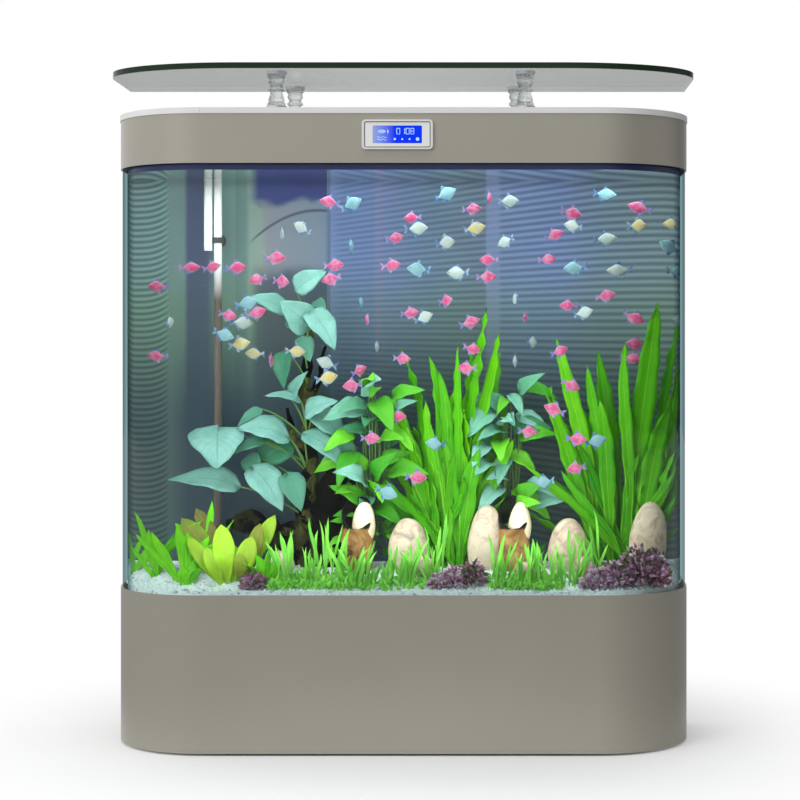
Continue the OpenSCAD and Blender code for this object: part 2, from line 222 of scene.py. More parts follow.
class Paint(Nodes):
    """A material with one Principled shader, and short calls that add nodes behind it."""

    def __init__(self, name, color=(0.5, 0.5, 0.5), rough=0.5, metal=0.0):
        self.m = bpy.data.materials.new(name)
        self.m.use_nodes = True
        super().__init__(self.m.node_tree)
        self.out = self.node("OutputMaterial")
        self.b = self.node("BsdfPrincipled")
        self.show(self.b.outputs[0])
        self.b.inputs["Base Color"].default_value = (*color, 1)
        self.b.inputs["Roughness"].default_value = rough
        self.b.inputs["Metallic"].default_value = metal

    def show(self, shader):
        self.link(shader, self.out.inputs[0])

    def place(self, scale=(1, 1, 1)):
        """Object coordinates, scaled."""
        mapping = self.node("Mapping")
        mapping.inputs["Scale"].default_value = scale
        self.link(self.node("TexCoord").outputs["Object"], mapping.inputs[0])
        return mapping.outputs[0]

    def noise(self, scale, detail=4.0, rough=0.5, at=None, distort=0.0):
        n = self.node("TexNoise")
        n.inputs["Scale"].default_value = scale
        n.inputs["Detail"].default_value = detail
        n.inputs["Roughness"].default_value = rough
        n.inputs["Distortion"].default_value = distort
        self.link(at if at is not None else self.place(), n.inputs["Vector"])
        return n.outputs["Fac"]

    def cells(self, scale, feature="F1", output="Distance"):
        n = self.node("TexVoronoi")
        n.feature = feature
        n.inputs["Scale"].default_value = scale
        self.link(self.place(), n.inputs["Vector"])
        return n.outputs[output]

    def blend(self, fac, a, b, mode="MIX"):
        """Mix of two colours, each a socket or a plain colour."""
        n = self.node("Mix")
        n.data_type = "RGBA"
        n.blend_type = mode
        for value, socket in ((fac, n.inputs[0]), (a, n.inputs[6]), (b, n.inputs[7])):
            self.feed(value, socket)
        return n.outputs[2]

    def color(self, socket):
        self.link(socket, self.b.inputs["Base Color"])
        return self

    def rough(self, fac, low, high):
        """Roughness that runs from low to high over fac."""
        self.link(self.span(fac, 0.0, 1.0, low, high), self.b.inputs["Roughness"])
        return self

    def bump(self, height, strength=0.3, distance=0.001):
        n = self.node("Bump")
        n.inputs["Strength"].default_value = strength
        n.inputs["Distance"].default_value = distance
        self.link(height, n.inputs["Height"])
        self.link(n.outputs[0], self.b.inputs["Normal"])
        return self

    def set(self, **values):
        """Plain values on the shader's own sockets; underscores stand for spaces."""
        for key, value in values.items():
            self.b.inputs[key.replace("_", " ")].default_value = value
        return self

    def axis(self, letter):
        """One coordinate in the object's frame, in metres."""
        return self.split(self.node("TexCoord").outputs["Object"])[letter]

    def lets_lamps_through(self):
        """Light from lamps passes this glass unbent, so that it reaches what is behind it."""
        seen = self.node("LightPath").outputs["Is Shadow Ray"]
        self.show(self.mix(seen, self.b, self.node("BsdfTransparent")))
        return self

    def tone(self):
        """The per-part variation that a Build stores, from 0 to 1."""
        n = self.node("Attribute")
        n.attribute_name = "tone"
        return n.outputs["Fac"]


# ---------------------------------------------------------------- mesh helper

class Build:
    """Collects parts and makes them one mesh piece."""

    def __init__(self):
        self.verts, self.faces, self.uvs, self.tones, self.kinds = [], [], [], [], []

    def add(self, verts, faces, uvs=None, tone=0.5, kind=0):
        start = len(self.verts)
        self.verts.extend(verts)
        self.uvs.extend(uvs if uvs is not None else [(0.5, 0.5)] * len(verts))
        self.tones.extend([tone] * len(verts) if isinstance(tone, (int, float)) else tone)
        self.faces.extend([tuple(start + i for i in f) for f in faces])
        self.kinds.extend([kind] * len(faces))

    def grid(self, point, across, along, tone=0.5, kind=0, close=False):
        """A patch of across by along points; point(u, v) gives each place, with u and v from 0 to 1."""
        rows = across if close else across - 1
        verts = [point(i / rows, j / (along - 1)) for j in range(along) for i in range(across)]
        uvs = [(i / rows, j / (along - 1)) for j in range(along) for i in range(across)]
        faces = [(j * across + i, j * across + (i + 1) % across,
                  (j + 1) * across + (i + 1) % across, (j + 1) * across + i)
                 for j in range(along - 1) for i in range(rows)]
        self.add(verts, faces, uvs, tone, kind)

    def prism(self, near, far, tone=0.5):
        """A closed shape between two outlines with as many points each; near is its front face."""
        n = len(near)
        faces = [tuple(range(n)), tuple(reversed(range(n, 2 * n)))]
        faces += [(i, i + n, (i + 1) % n + n, (i + 1) % n) for i in range(n)]
        self.add(near + far, faces, tone=tone)

    def tube(self, path, radii, sides=8, tone=0.5, kind=0, wobble=0.0, seed=0.0):
        """A round tube with closed ends along path, with a radius for each of its points."""
        ring_at = frames_along(path)
        verts, faces, uvs = [], [], []
        for j, (center, right, up) in enumerate(ring_at):
            for i in range(sides):
                a = 2 * math.pi * i / sides
                knot = noise.noise(center * 60 + Vector((math.cos(a), math.sin(a), seed)) * 1.2)
                grow = 1 + wobble * knot
                verts.append(center + (right * math.cos(a) + up * math.sin(a)) * radii[j] * grow)
                uvs.append((i / sides, j / len(path)))
        for j in range(len(path) - 1):
            for i in range(sides):
                n = (i + 1) % sides
                faces.append((j * sides + i, j * sides + n, (j + 1) * sides + n, (j + 1) * sides + i))
        faces.append(tuple(reversed(range(sides))))
        faces.append(tuple(range((len(path) - 1) * sides, len(path) * sides)))
        self.add(verts, faces, uvs, tone, kind)

    def piece(self, name, body, materials, smooth=True, sharp=None, slot=None):
        mesh = bpy.data.meshes.new(name)
        mesh.from_pydata([tuple(v) for v in self.verts], [], self.faces)
        layer = mesh.uv_layers.new(name="UVMap")
        for loop in mesh.loops:
            layer.data[loop.index].uv = self.uvs[loop.vertex_index]
        tone = mesh.attributes.new("tone", "FLOAT", "POINT")
        tone.data.foreach_set("value", self.tones)
        for m in materials:
            mesh.materials.append(m)
        mesh.polygons.foreach_set("material_index", self.kinds)
        mesh.polygons.foreach_set("use_smooth", [smooth] * len(self.faces))
        mesh.update()
        if sharp is not None:
            mesh.set_sharp_from_angle(angle=math.radians(sharp))
        piece = bpy.data.objects.new(name, mesh)
        bpy.context.scene.collection.objects.link(piece)
        if body is not None:
            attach(piece, body)
        return piece


def frames_along(path):
    """For each point of a path, the point and two directions across it."""
    path = [Vector(p) for p in path]
    found, right = [], None
    for i, p in enumerate(path):
        ahead = (path[min(i + 1, len(path) - 1)] - path[max(i - 1, 0)]).normalized()
        if right is None:
            right = ahead.orthogonal().normalized()
        right = (right - ahead * right.dot(ahead)).normalized()
        found.append((p, right, ahead.cross(right)))
    return found


def bow(a, b, lift, points):
    """Points on an arc from a to b that bows out by lift."""
    a, b, lift = Vector(a), Vector(b), Vector(lift)
    steps = [i / (points - 1) for i in range(points)]
    return [a.lerp(b, t) + lift * (4 * t * (1 - t)) for t in steps]


def front_y(x, inset):
    """How far forward the body's plan reaches at x, drawn in by inset."""
    over = abs(x) - CORNER_X
    if over <= 0:
        return FRONT_Y + inset
    r = CORNER_R - inset
    return CORNER_Y - math.sqrt(max(0.0, r * r - over * over))


def plan_edge(inset, per_corner=28):
    """Points of the tank's plan along the sides and front, from the left back to the right back."""
    r = CORNER_R - inset
    back = BACK_LOW.y - HAIR
    points = [(-CORNER_X - r, back)]
    for i in range(per_corner + 1):
        a = math.pi + 0.5 * math.pi * i / per_corner
        points.append((-CORNER_X + r * math.cos(a), CORNER_Y + r * math.sin(a)))
    for i in range(per_corner + 1):
        a = 1.5 * math.pi + 0.5 * math.pi * i / per_corner
        points.append((CORNER_X + r * math.cos(a), CORNER_Y + r * math.sin(a)))
    points.append((CORNER_X + r, back))
    return points


# ---------------------------------------------------------------- materials

def floor_material():
    """A pale matte floor that turns plain white away from the object."""
    p = Paint("floor_pale", (0.9, 0.9, 0.9), 0.8)
    far = p.node("VectorMath")
    far.operation = "LENGTH"
    p.link(p.node("TexCoord").outputs["Object"], far.inputs[0])
    fade = p.span(far.outputs["Value"], *FLOOR_FADE, smooth=True)
    glow = p.node("Emission")
    seen = p.node("LightPath").outputs["Is Camera Ray"]
    p.link(p.math("MULTIPLY_ADD", seen, 1 - FLOOR_GLOW, FLOOR_GLOW), glow.inputs["Strength"])
    p.show(p.mix(fade, p.b, glow))
    return p.m


def hood_paint(name, color, lip_z=None):
    """Satin metallic taupe lacquer with fine flakes; below lip_z painted dark blue as the shade just under
    the hood.
    """
    p = Paint(name, color, 0.34)
    fine = p.noise(900, 2)
    broad = p.noise(3.5, 3)
    light = tuple(min(1, c * 1.06) for c in color)
    dark = tuple(c * 0.94 for c in color)
    tint = p.blend(broad, dark, light)
    flakes = p.math("MULTIPLY", p.math("GREATER_THAN", p.noise(2400, 1), 0.62), 0.10)
    lacquer = p.blend(flakes, tint, (0.8, 0.78, 0.74))
    # Painted shade: below lip_z a dark blue band, the shade just under the hood.
    if lip_z is not None:
        lacquer = p.blend(p.math("LESS_THAN", p.axis("Z"), lip_z), lacquer, (0.015, 0.025, 0.12))
    p.color(lacquer)
    p.rough(broad, 0.30, 0.38)
    p.bump(fine, 0.05, 0.0002)
    return p.set(Metallic=0.25, Coat_Weight=0.35, Coat_Roughness=0.12).m


def board_material(name, color):
    """Laminated board: a fine long grain with a matte face."""
    p = Paint(name, color, 0.6)
    grain = p.noise(30, 5, 0.6, p.place((0.6, 9, 14)))
    dark = tuple(c * 0.82 for c in color)
    p.color(p.ramp(grain, [(0.3, dark), (0.7, color)]))
    p.rough(grain, 0.5, 0.68)
    return p.bump(grain, 0.12, 0.0004).m


def plastic(name, color, rough=0.4, texture=700, depth=0.08):
    """Moulded plastic with a fine skin texture."""
    p = Paint(name, color, rough)
    skin = p.noise(texture, 3)
    broad = p.noise(7, 2)
    p.color(p.blend(broad, tuple(c * 0.95 for c in color), tuple(min(1, c * 1.04) for c in color)))
    p.rough(skin, rough - 0.06, rough + 0.08)
    return p.bump(skin, depth, 0.0003).m


def rubber(name, color):
    """Matte rubber or foam with a coarse skin."""
    return plastic(name, color, 0.72, 1200, 0.2)


def brushed(name, color, rough=0.28):
    """Metal brushed along X."""
    p = Paint(name, color, rough, 1.0)
    lines = p.noise(180, 3, 0.6, p.place((0.15, 6, 6)))
    p.rough(lines, rough - 0.08, rough + 0.12)
    p.color(p.blend(lines, tuple(c * 0.9 for c in color), color))
    return p.bump(lines, 0.06, 0.0002).m


def pane_glass():
    """A tank pane: nearly clear, greenish, with a mirror that grows towards grazing angles."""
    p = Paint("tank_pane")
    clear = p.node("BsdfTransparent")
    edge = p.node("LayerWeight").outputs["Facing"]
    p.link(p.ramp(edge, [(0.60, (0.98, 0.995, 0.99)), (0.80, (0.36, 0.50, 0.52))]), clear.inputs[0])
    gloss = p.node("BsdfGlossy")
    gloss.inputs["Roughness"].default_value = 0.0
    fresnel = p.node("Fresnel")
    fresnel.inputs["IOR"].default_value = 1.25
    outside = p.math("SUBTRACT", 1.0, p.node("NewGeometry").outputs["Backfacing"])
    p.show(p.mix(p.math("MULTIPLY", fresnel.outputs[0], outside), clear, gloss))
    p.t.nodes.remove(p.b)
    return p.m


def water_material():
    """Clear water that bends what is seen through it, with a faint ripple on its surface."""
    p = Paint("water_clear", (0.93, 0.985, 1.0), 0.0)
    p.set(IOR=1.33, Transmission_Weight=1.0)
    ripple = p.noise(14, 3, 0.5, p.place((1, 1, 0.05)))
    p.bump(ripple, 0.02, 0.001)
    return p.lets_lamps_through().m


def plate_material():
    """Thick float glass: pale grey-green faces with painted light, lighter in the middle and darker towards
    the sides, and a nearly black-green edge.
    """
    p = Paint("plate_float_glass", (0.5, 0.56, 0.52), 0.05)
    shape = p.node("NewGeometry").outputs
    level = p.math("GREATER_THAN", p.math("ABSOLUTE", p.split(shape["Normal"])["Z"]), 0.7)
    flat = p.math("MAXIMUM", level, shape["Backfacing"])
    haze = p.noise(5, 3)
    # Painted light: the faces are lighter over the middle and darker towards the sides.
    side = p.math("MULTIPLY", p.math("ABSOLUTE", p.axis("X")), 2.2)
    middle = p.blend(haze, (0.70, 0.74, 0.715), (0.74, 0.78, 0.755))
    face = p.blend(side, middle, (0.52, 0.58, 0.545))
    edge = p.ramp(p.noise(4, 2, 0.5, p.place((1, 1, 0.1))),
                  [(0.35, (0.006, 0.022, 0.009)), (0.65, (0.014, 0.03, 0.016))])
    p.color(p.blend(flat, edge, face))
    p.link(p.span(flat, 0.0, 1.0, 1.0, 0.56), p.b.inputs["Alpha"])
    p.set(Specular_IOR_Level=0.2)
    return p.rough(haze, 0.03, 0.09).m


def crystal_material():
    """Cut glass, thinned with plain see-through so that it stays pale in front of the white studio."""
    p = Paint("crystal_cut", (0.93, 0.96, 0.96), 0.02)
    p.rough(p.noise(160, 3), 0.0, 0.05)
    p.set(IOR=1.45, Transmission_Weight=1.0)
    clear = p.node("BsdfTransparent")
    clear.inputs[0].default_value = (0.86, 0.88, 0.88, 1)
    thin = p.math("MAXIMUM", p.node("LightPath").outputs["Is Shadow Ray"], 0.45)
    p.show(p.mix(thin, p.b, clear))
    return p.m


# The film's print across its width: x in metres and colour, above and near the gravel, and how strongly
# it is ribbed.
FILM_HIGH = (
    (-0.600, (0.78, 0.92, 1.00)), (-0.527, (0.78, 0.92, 1.00)), (-0.516, (0.46, 0.62, 0.62)),
    (-0.483, (0.42, 0.62, 0.58)), (-0.480, (0.34, 0.47, 0.44)), (-0.464, (0.34, 0.47, 0.46)),
    (-0.461, (0.15, 0.17, 0.29)), (-0.430, (0.16, 0.18, 0.31)), (-0.408, (0.30, 0.48, 0.42)),
    (-0.369, (0.36, 0.52, 0.48)), (-0.366, (0.29, 0.43, 0.40)), (-0.345, (0.32, 0.47, 0.43)),
    (-0.338, (0.50, 0.65, 0.55)), (-0.312, (0.54, 0.63, 0.55)), (-0.300, (0.52, 0.50, 0.56)),
    (-0.217, (0.45, 0.50, 0.60)), (-0.172, (0.43, 0.50, 0.66)), (-0.168, (0.16, 0.20, 0.32)),
    (-0.162, (0.38, 0.49, 0.88)), (-0.070, (0.38, 0.49, 0.90)), (-0.062, (0.54, 0.51, 0.86)),
    (-0.045, (0.42, 0.50, 0.88)), (0.052, (0.36, 0.48, 0.69)), (0.117, (0.38, 0.49, 0.62)),
    (0.172, (0.38, 0.46, 0.64)), (0.176, (0.48, 0.56, 0.90)), (0.250, (0.45, 0.57, 0.96)),
    (0.334, (0.43, 0.53, 0.94)), (0.421, (0.40, 0.51, 0.66)), (0.508, (0.42, 0.54, 0.53)),
    (0.600, (0.50, 0.66, 0.62)))
FILM_LOW = (
    (-0.60, (0.15, 0.235, 0.22)), (-0.48, (0.14, 0.20, 0.19)), (-0.46, (0.06, 0.09, 0.12)),
    (-0.36, (0.035, 0.06, 0.08)), (-0.10, (0.04, 0.07, 0.07)), (0.30, (0.06, 0.095, 0.085)),
    (0.60, (0.09, 0.14, 0.11)))
FILM_RIBBED = (
    (-0.60, 1), (-0.484, 1), (-0.480, 0), (-0.165, 0), (-0.140, 0.55), (0.170, 0.75), (0.175, 0.3),
    (0.200, 0.3), (0.206, 0.8), (0.6, 1))


def film_ramp(p, x, stops):
    """Colours across the film, at places in metres."""
    scale, middle = 0.8, 0.5
    across = p.math("MULTIPLY_ADD", x, scale, middle)
    return p.ramp(across, [(middle + scale * at, color) for at, color in stops])


def film_window(p, x, z, upper):
    """Adds a pale window with a dark lintel, a thin arch and a darker sill, left of the ribbed panels."""
    wavy_z = p.math("MULTIPLY_ADD", p.noise(16, 3), 0.05, z)
    left, right = p.span(x, -0.345, -0.315, smooth=True), p.span(x, -0.1695, -0.1715, smooth=True)
    bay = p.math("MULTIPLY", left, right)
    lintel = p.math("MULTIPLY", bay, p.span(wavy_z, 1.155, 1.175, smooth=True))
    sill = p.math("MULTIPLY", bay, p.span(wavy_z, 1.040, 1.000, smooth=True))
    off_middle = p.math("ADD", x, 0.19)
    arch = p.math("SUBTRACT", z, p.math("MULTIPLY_ADD", p.math("POWER", off_middle, 2.0), -3.2, 1.125))
    line = p.math("MULTIPLY", bay, p.span(p.math("ABSOLUTE", arch), 0.0045, 0.002, smooth=True))
    upper = p.blend(lintel, upper, (0.095, 0.105, 0.36))
    upper = p.blend(p.math("MULTIPLY", line, 0.75), upper, (0.10, 0.12, 0.20))
    return p.blend(p.math("MULTIPLY", sill, 0.70), upper, (0.06, 0.07, 0.15))


def film_ribs(p, x, z):
    """Ribs that fan out to the right of a level line, and sagging ones at the far left."""
    level, pitch, spread = 0.866, 0.01225, 0.56
    wider = p.math("MULTIPLY_ADD", x, spread, 1.0)
    fan = p.math("DIVIDE", p.math("SUBTRACT", z, level), p.math("MULTIPLY", wider, pitch))
    lowest_x, depth, bowl_pitch, bowl_end = 0.503, 36.0, 0.0130, -0.45
    sag = p.math("MULTIPLY", p.math("POWER", p.math("ADD", x, lowest_x), 2.0), depth)
    bowl = p.math("DIVIDE", p.math("SUBTRACT", z, sag), bowl_pitch)
    left = p.math("LESS_THAN", x, bowl_end)
    fanned = p.math("MULTIPLY", fan, p.math("SUBTRACT", 1.0, left))
    turns = p.math("ADD", p.math("MULTIPLY", bowl, left), fanned)
    return p.math("MULTIPLY_ADD", p.math("SINE", p.math("MULTIPLY", turns, 2 * math.pi)), 0.5, 0.5)


def film_material():
    """The translucent printed film behind the tank: ribs, dark posts and a pale window, lit from behind."""
    p = Paint("background_print", (0.1, 0.15, 0.3), 0.5)
    x, z = p.axis("X"), p.axis("Z")
    upper = film_window(p, x, z, film_ramp(p, x, FILM_HIGH))
    duller = p.blend(1.0, upper, (0.88, 0.94, 0.72), "MULTIPLY")
    upper = p.blend(p.span(z, 1.03, 0.89, smooth=True), upper, duller)
    base = p.blend(p.span(z, 0.66, 0.98, smooth=True), film_ramp(p, x, FILM_LOW), upper)
    ribs = film_ribs(p, x, z)
    where = film_ramp(p, x, [(at, (v, v, v)) for at, v in FILM_RIBBED])
    darker = p.blend(1.0, base, (0.40, 0.43, 0.47), "MULTIPLY")
    ribbed = p.blend(p.math("MULTIPLY", ribs, where), base, darker)
    mottled = p.blend(p.math("MULTIPLY", p.noise(7, 4), 0.22), ribbed, (0.14, 0.20, 0.28))
    p.color(mottled)
    p.link(mottled, p.b.inputs["Emission Color"])
    p.set(Emission_Strength=FILM_GLOW)
    p.rough(ribs, 0.4, 0.6)
    return p.bump(ribs, 0.1, 0.001).m


def gravel_material():
    """Small pale stones, each with its own tint, and painted shade in the gaps between them."""
    p = Paint("gravel_pale", (0.8, 0.85, 0.85), 0.6)
    stones_per_metre = 210
    pick = p.node("SeparateColor")
    p.link(p.cells(stones_per_metre, output="Color"), pick.inputs[0])
    tint = p.ramp(pick.outputs[0], [(0.0, (0.30, 0.34, 0.38)), (0.04, (0.60, 0.68, 0.72)),
                                    (0.10, (0.80, 0.90, 0.92)), (0.5, (0.90, 0.97, 0.97)),
                                    (0.85, (0.98, 1.0, 0.99)), (1.0, (0.72, 0.88, 0.93))])
    edge = p.cells(stones_per_metre, "DISTANCE_TO_EDGE")
    # Painted shade: darker where stones meet, in the gaps between them.
    gap = p.ramp(edge, [(0.0, (0.66, 0.76, 0.80)), (0.10, (1, 1, 1))])
    p.color(p.blend(1.0, tint, gap, "MULTIPLY"))
    p.rough(pick.outputs[1], 0.35, 0.7)
    return p.bump(edge, 0.6, 0.001).m


def pebble_material(name, stops, scale=30, hollow_shade=False):
    """Water-worn stone or clay: mottled, with soft stains; when asked, it is painted nearly black where the
    tone is 1, the shade inside a hollow.
    """
    p = Paint(name, stops[0][1], 0.45)
    stain_and_shade = p.noise(scale, 6, 0.6, None, 1.5)
    fine = p.noise(scale * 12, 3)
    # Painted shade: nearly black where the tone is 1.
    if hollow_shade:
        p.color(p.blend(p.tone(), p.ramp(stain_and_shade, stops), (0.003, 0.003, 0.003)))
    else:
        p.color(p.blend(p.math("MULTIPLY", fine, 0.2), p.ramp(stain_and_shade, stops), (0.8, 0.75, 0.65)))
    p.rough(fine, 0.35, 0.6)
    return p.bump(p.math("ADD", stain_and_shade, p.math("MULTIPLY", fine, 0.3)), 0.35, 0.002).m


def wood_material():
    """Nearly black wet bark, with moss where the tone is high."""
    p = Paint("driftwood_wet", (0.02, 0.016, 0.012), 0.5)
    bark = p.noise(45, 8, 0.65, p.place((1, 1, 0.3)), 1.0)
    moss = p.noise(16, 5, 0.6)
    dark = p.ramp(bark, [(0.50, (0.0005, 0.0005, 0.001)), (0.76, (0.002, 0.0015, 0.001)),
                         (0.97, (0.04, 0.03, 0.02))])
    green = p.ramp(bark, [(0.3, (0.005, 0.012, 0.002)), (0.7, (0.12, 0.13, 0.03))])
    grown = p.math("MULTIPLY", p.tone(), p.math("GREATER_THAN", moss, 0.47))
    p.color(p.blend(grown, dark, green))
    p.rough(bark, 0.5, 0.9)
    p.set(Specular_IOR_Level=0.12)
    return p.bump(bark, 0.9, 0.006).m


def leaf_material(name, light, dark, vein, veins=7.0, shine=0.4):
    """A leaf: blade colour that varies between leaves, a pale midrib and side veins."""
    p = Paint(name, light, 0.35)
    uv = p.split(p.node("TexCoord").outputs["UV"])
    side = p.math("ABSOLUTE", p.math("SUBTRACT", uv["X"], 0.5))
    midrib = p.ramp(side, [(0.0, (1, 1, 1)), (0.035, (0.0, 0.0, 0.0))])
    slant = p.math("SUBTRACT", uv["Y"], p.math("MULTIPLY", side, 0.9))
    rib = p.math("ABSOLUTE", p.math("SINE", p.math("MULTIPLY", slant, math.pi * veins)))
    ribs = p.ramp(rib, [(0.0, (1, 1, 1)), (0.24, (0.0, 0.0, 0.0))])
    blade = p.blend(p.tone(), dark, light)
    cloud = p.blend(p.math("MULTIPLY", p.noise(30, 5, 0.6), 0.75), blade, dark)
    veined = p.blend(p.math("MULTIPLY", ribs, 0.55), cloud, vein)
    p.color(p.blend(p.math("MULTIPLY", midrib, 0.6), veined, vein))
    p.set(Specular_IOR_Level=shine)
    return p.bump(p.math("ADD", ribs, midrib), 0.25, 0.0015).m


def fish_material(name, core, pale, fin):
    """A dyed tetra's skin: a strong core that pales to the back and belly, blue fins, fine scales."""
    p = Paint(name, core, 0.35)
    scales = p.cells(900)
    skin = p.ramp(p.tone(), [(0.0, core), (0.26, core), (0.60, pale), (0.80, fin), (1.0, fin)])
    blotch = p.ramp(p.noise(110, 3), [(0.45, (0, 0, 0)), (0.62, (0.7, 0.7, 0.7))])
    p.color(p.blend(p.math("MULTIPLY", scales, 0.2), p.blend(blotch, skin, pale), fin))
    p.bump(scales, 0.2, 0.0004)
    return p.set(Coat_Weight=0.15, Coat_Roughness=0.2).m


# ---------------------------------------------------------------- CAD nodes: materials and soft edges

def give(material, *names, bevel=None):
    """Gives CAD nodes a material, and a rounded edge where bevel states one."""
    for name in names:
        node = NODES[name]
        node.data.materials.clear()
        node.data.materials.append(material)
        if bevel:
            soft = node.modifiers.new("soft_edges", "BEVEL")
            soft.width = bevel
            soft.segments = 3
            soft.limit_method = "ANGLE"
            soft.angle_limit = math.radians(50)
            soft.harden_normals = True


def dress_cad():
    """Materials of the CAD nodes that are kept as they are."""
    give(hood_paint("hood_lacquer", (0.365, 0.345, 0.288), HOOD_LOW.z + LIP_DEPTH + 0.0003), "hood_shell")
    give(hood_paint("cabinet_lacquer", (0.340, 0.322, 0.264)), "cabinet_shell")
    give(board_material("board_grey", (0.22, 0.21, 0.20)), "cabinet_back_frame", "cabinet_floor",
         "cabinet_top_board", "center_upright")
    give(board_material("door_grey", (0.30, 0.295, 0.28)), "rear_door_left", "rear_door_right",
         bevel=0.0008)
    give(rubber("foot_rubber", (0.02, 0.02, 0.02)), "foot_pads")
    give(rubber("mat_foam", (0.03, 0.03, 0.03)), "tank_mat")
    give(brushed("pin_steel", (0.62, 0.62, 0.64)), "door_pins_left", "door_pins_right",
         "lid_pin_left", "lid_pin_right")
    give(plastic("catch_black", (0.03, 0.03, 0.03)), "door_catches", bevel=0.001)
    give(pane_glass(), "tank_bent_glass", "tank_back_glass", "tank_bottom_glass")
    give(rubber("silicone_black", (0.02, 0.02, 0.022)), "silicone_seams")
    give(plastic("pump_black", (0.025, 0.025, 0.03), 0.4), "pump", bevel=0.004)
    give(plastic("clip_grey", (0.06, 0.06, 0.06), 0.6), "pipe_clips")
    give(plastic("pipe_milky", (0.86, 0.87, 0.85), 0.3, 300), "return_pipe")
    give(riser_material(), "riser_pipe")
    give(plastic("deck_white", (0.76, 0.76, 0.755), 0.35), "hood_deck", bevel=0.0025)
    give(plastic("lid_white", (0.76, 0.76, 0.76), 0.35), "feeding_lid_left", "feeding_lid_right",
         bevel=0.0006)
    give(plastic("tray_black", (0.03, 0.03, 0.032)), "filter_tray", bevel=0.001)
    give(sponge_material(), "filter_sponge")
    give(brushed("lamp_case", (0.7, 0.71, 0.73)), "lamp_housing", "lamp_brackets", bevel=0.002)
    give(lamp_lens(), "lamp_diffuser")
    give(brushed("disc_steel", (0.80, 0.81, 0.82), 0.35), "column_bases", "glass_top_discs", bevel=0.0012)
    give(plate_material(), "glass_top", bevel=0.0012)
    give(plastic("bezel_white", (0.84, 0.85, 0.83), 0.3), "control_bezel", bevel=0.0006)
    give(plastic("panel_silver", (0.76, 0.76, 0.73), 0.32), "control_housing", bevel=0.0018)
    give(screen_material(), "lcd_screen")


def riser_material():
    """Milky pipe above, with painted shade that turns it a mottled dark brown-grey further down."""
    p = Paint("pipe_shaded_low", (0.8, 0.8, 0.78), 0.35)
    # Painted shade: from z 1.02 down to 0.93 the pipe turns dark brown-grey.
    stain_and_shade = p.span(p.axis("Z"), 1.02, 0.93)
    mottle = p.noise(25, 5, 0.6, p.place((1, 1, 0.2)))
    brown = p.ramp(mottle, [(0.3, (0.055, 0.045, 0.040)), (0.7, (0.16, 0.13, 0.11))])
    p.color(p.blend(stain_and_shade, (0.86, 0.86, 0.84), brown))
    return p.bump(mottle, 0.1, 0.0005).m


def sponge_material():
    """Open blue foam, with painted shade in its pores."""
    p = Paint("sponge_blue", (0.03, 0.05, 0.10), 0.9)
    holes = p.cells(260)
    # Painted shade: darker towards the middle of each pore.
    p.color(p.ramp(holes, [(0.2, (0.005, 0.008, 0.016)), (0.6, (0.03, 0.05, 0.10))]))
    return p.bump(holes, 1.0, 0.003).m


def lamp_lens():
    """The lamp's frosted lens with a dot pattern, faintly lit."""
    p = Paint("lens_frosted", (0.95, 0.97, 1.0), 0.5)
    dots = p.cells(120)
    p.color(p.ramp(dots, [(0.0, (1, 1, 1)), (1.0, (0.8, 0.85, 0.9))]))
    p.set(Emission_Color=(0.75, 0.85, 1.0, 1), Emission_Strength=1.5)
    return p.bump(dots, 0.2, 0.001).m


def screen_material():
    """The lit display: blue, a little lighter at its left."""
    p = Paint("lcd_blue", (0.0, 0.06, 0.6), 0.2)
    side = p.span(p.axis("X"), SCREEN_LOW.x, SCREEN_LOW.x + 0.045)
    glow = p.blend(side, (0.34, 0.42, 0.66), (0.0, 0.030, 0.85))
    cloud = p.blend(p.math("MULTIPLY", p.noise(60, 3), 0.3), glow, (0.0, 0.06, 0.95))
    p.link(cloud, p.b.inputs["Emission Color"])
    p.set(Emission_Strength=0.9, Specular_IOR_Level=0.1)
    return p.color(p.blend(0.85, cloud, (0.0, 0.0, 0.0))).m


# ---------------------------------------------------------------- display symbols

SYMBOL_FRONT, SYMBOL_BACK = SCREEN_LOW.y - 0.0003, SCREEN_LOW.y + 0.0001


def raise_symbol(build, outline):
    """A thin raised shape on the display's face, from an outline round the display's centre."""
    near, far = [[Vector((SCREEN_X + x, y, SCREEN_Z + z)) for x, z in outline]
                 for y in (SYMBOL_FRONT, SYMBOL_BACK)]
    build.prism(near, far)


def face_bar(build, x, z, w, h):
    """A bar with its centre at x, z."""
    corners = ((-1, -1), (1, -1), (1, 1), (-1, 1))
    raise_symbol(build, [(x + a * w / 2, z + b * h / 2) for a, b in corners])


SEGMENTS = {"0": "abcdef", "1": "bc", "8": "abcdefg"}


def face_digit(build, digit, x, z, w=0.0062, h=0.0115, line=0.0013):
    """One digit made of seven bars."""
    bars = {"a": (0, h / 2, w, line), "d": (0, -h / 2, w, line), "g": (0, 0, w, line),
            "b": (w / 2, h / 4, line, h / 2), "c": (w / 2, -h / 4, line, h / 2),
            "f": (-w / 2, h / 4, line, h / 2), "e": (-w / 2, -h / 4, line, h / 2)}
    for name in SEGMENTS[digit]:
        bx, bz, bw, bh = bars[name]
        face_bar(build, x + bx, z + bz, bw, bh)


def face_disc(build, x, z, r, squash=1.0, points=18, start=0.0, turn=2 * math.pi):
    """A disc with its centre at x, z, or the part of one from start over a turn."""
    angles = [start + turn * i / points for i in range(points)]
    raise_symbol(build, [(x + r * math.cos(a), z + r * squash * math.sin(a)) for a in angles])


def rounded(w, h, r, steps=6):
    """Corner points of a rounded rectangle round the display's centre, as x and z."""
    points = []
    for corner, (sx, sz) in enumerate(((1, 1), (-1, 1), (-1, -1), (1, -1))):
        for i in range(steps + 1):
            a = math.pi / 2 * (corner + i / steps)
            points.append((SCREEN_X + sx * (w / 2 - r) + r * math.cos(a),
                           SCREEN_Z + sz * (h / 2 - r) + r * math.sin(a)))
    return points


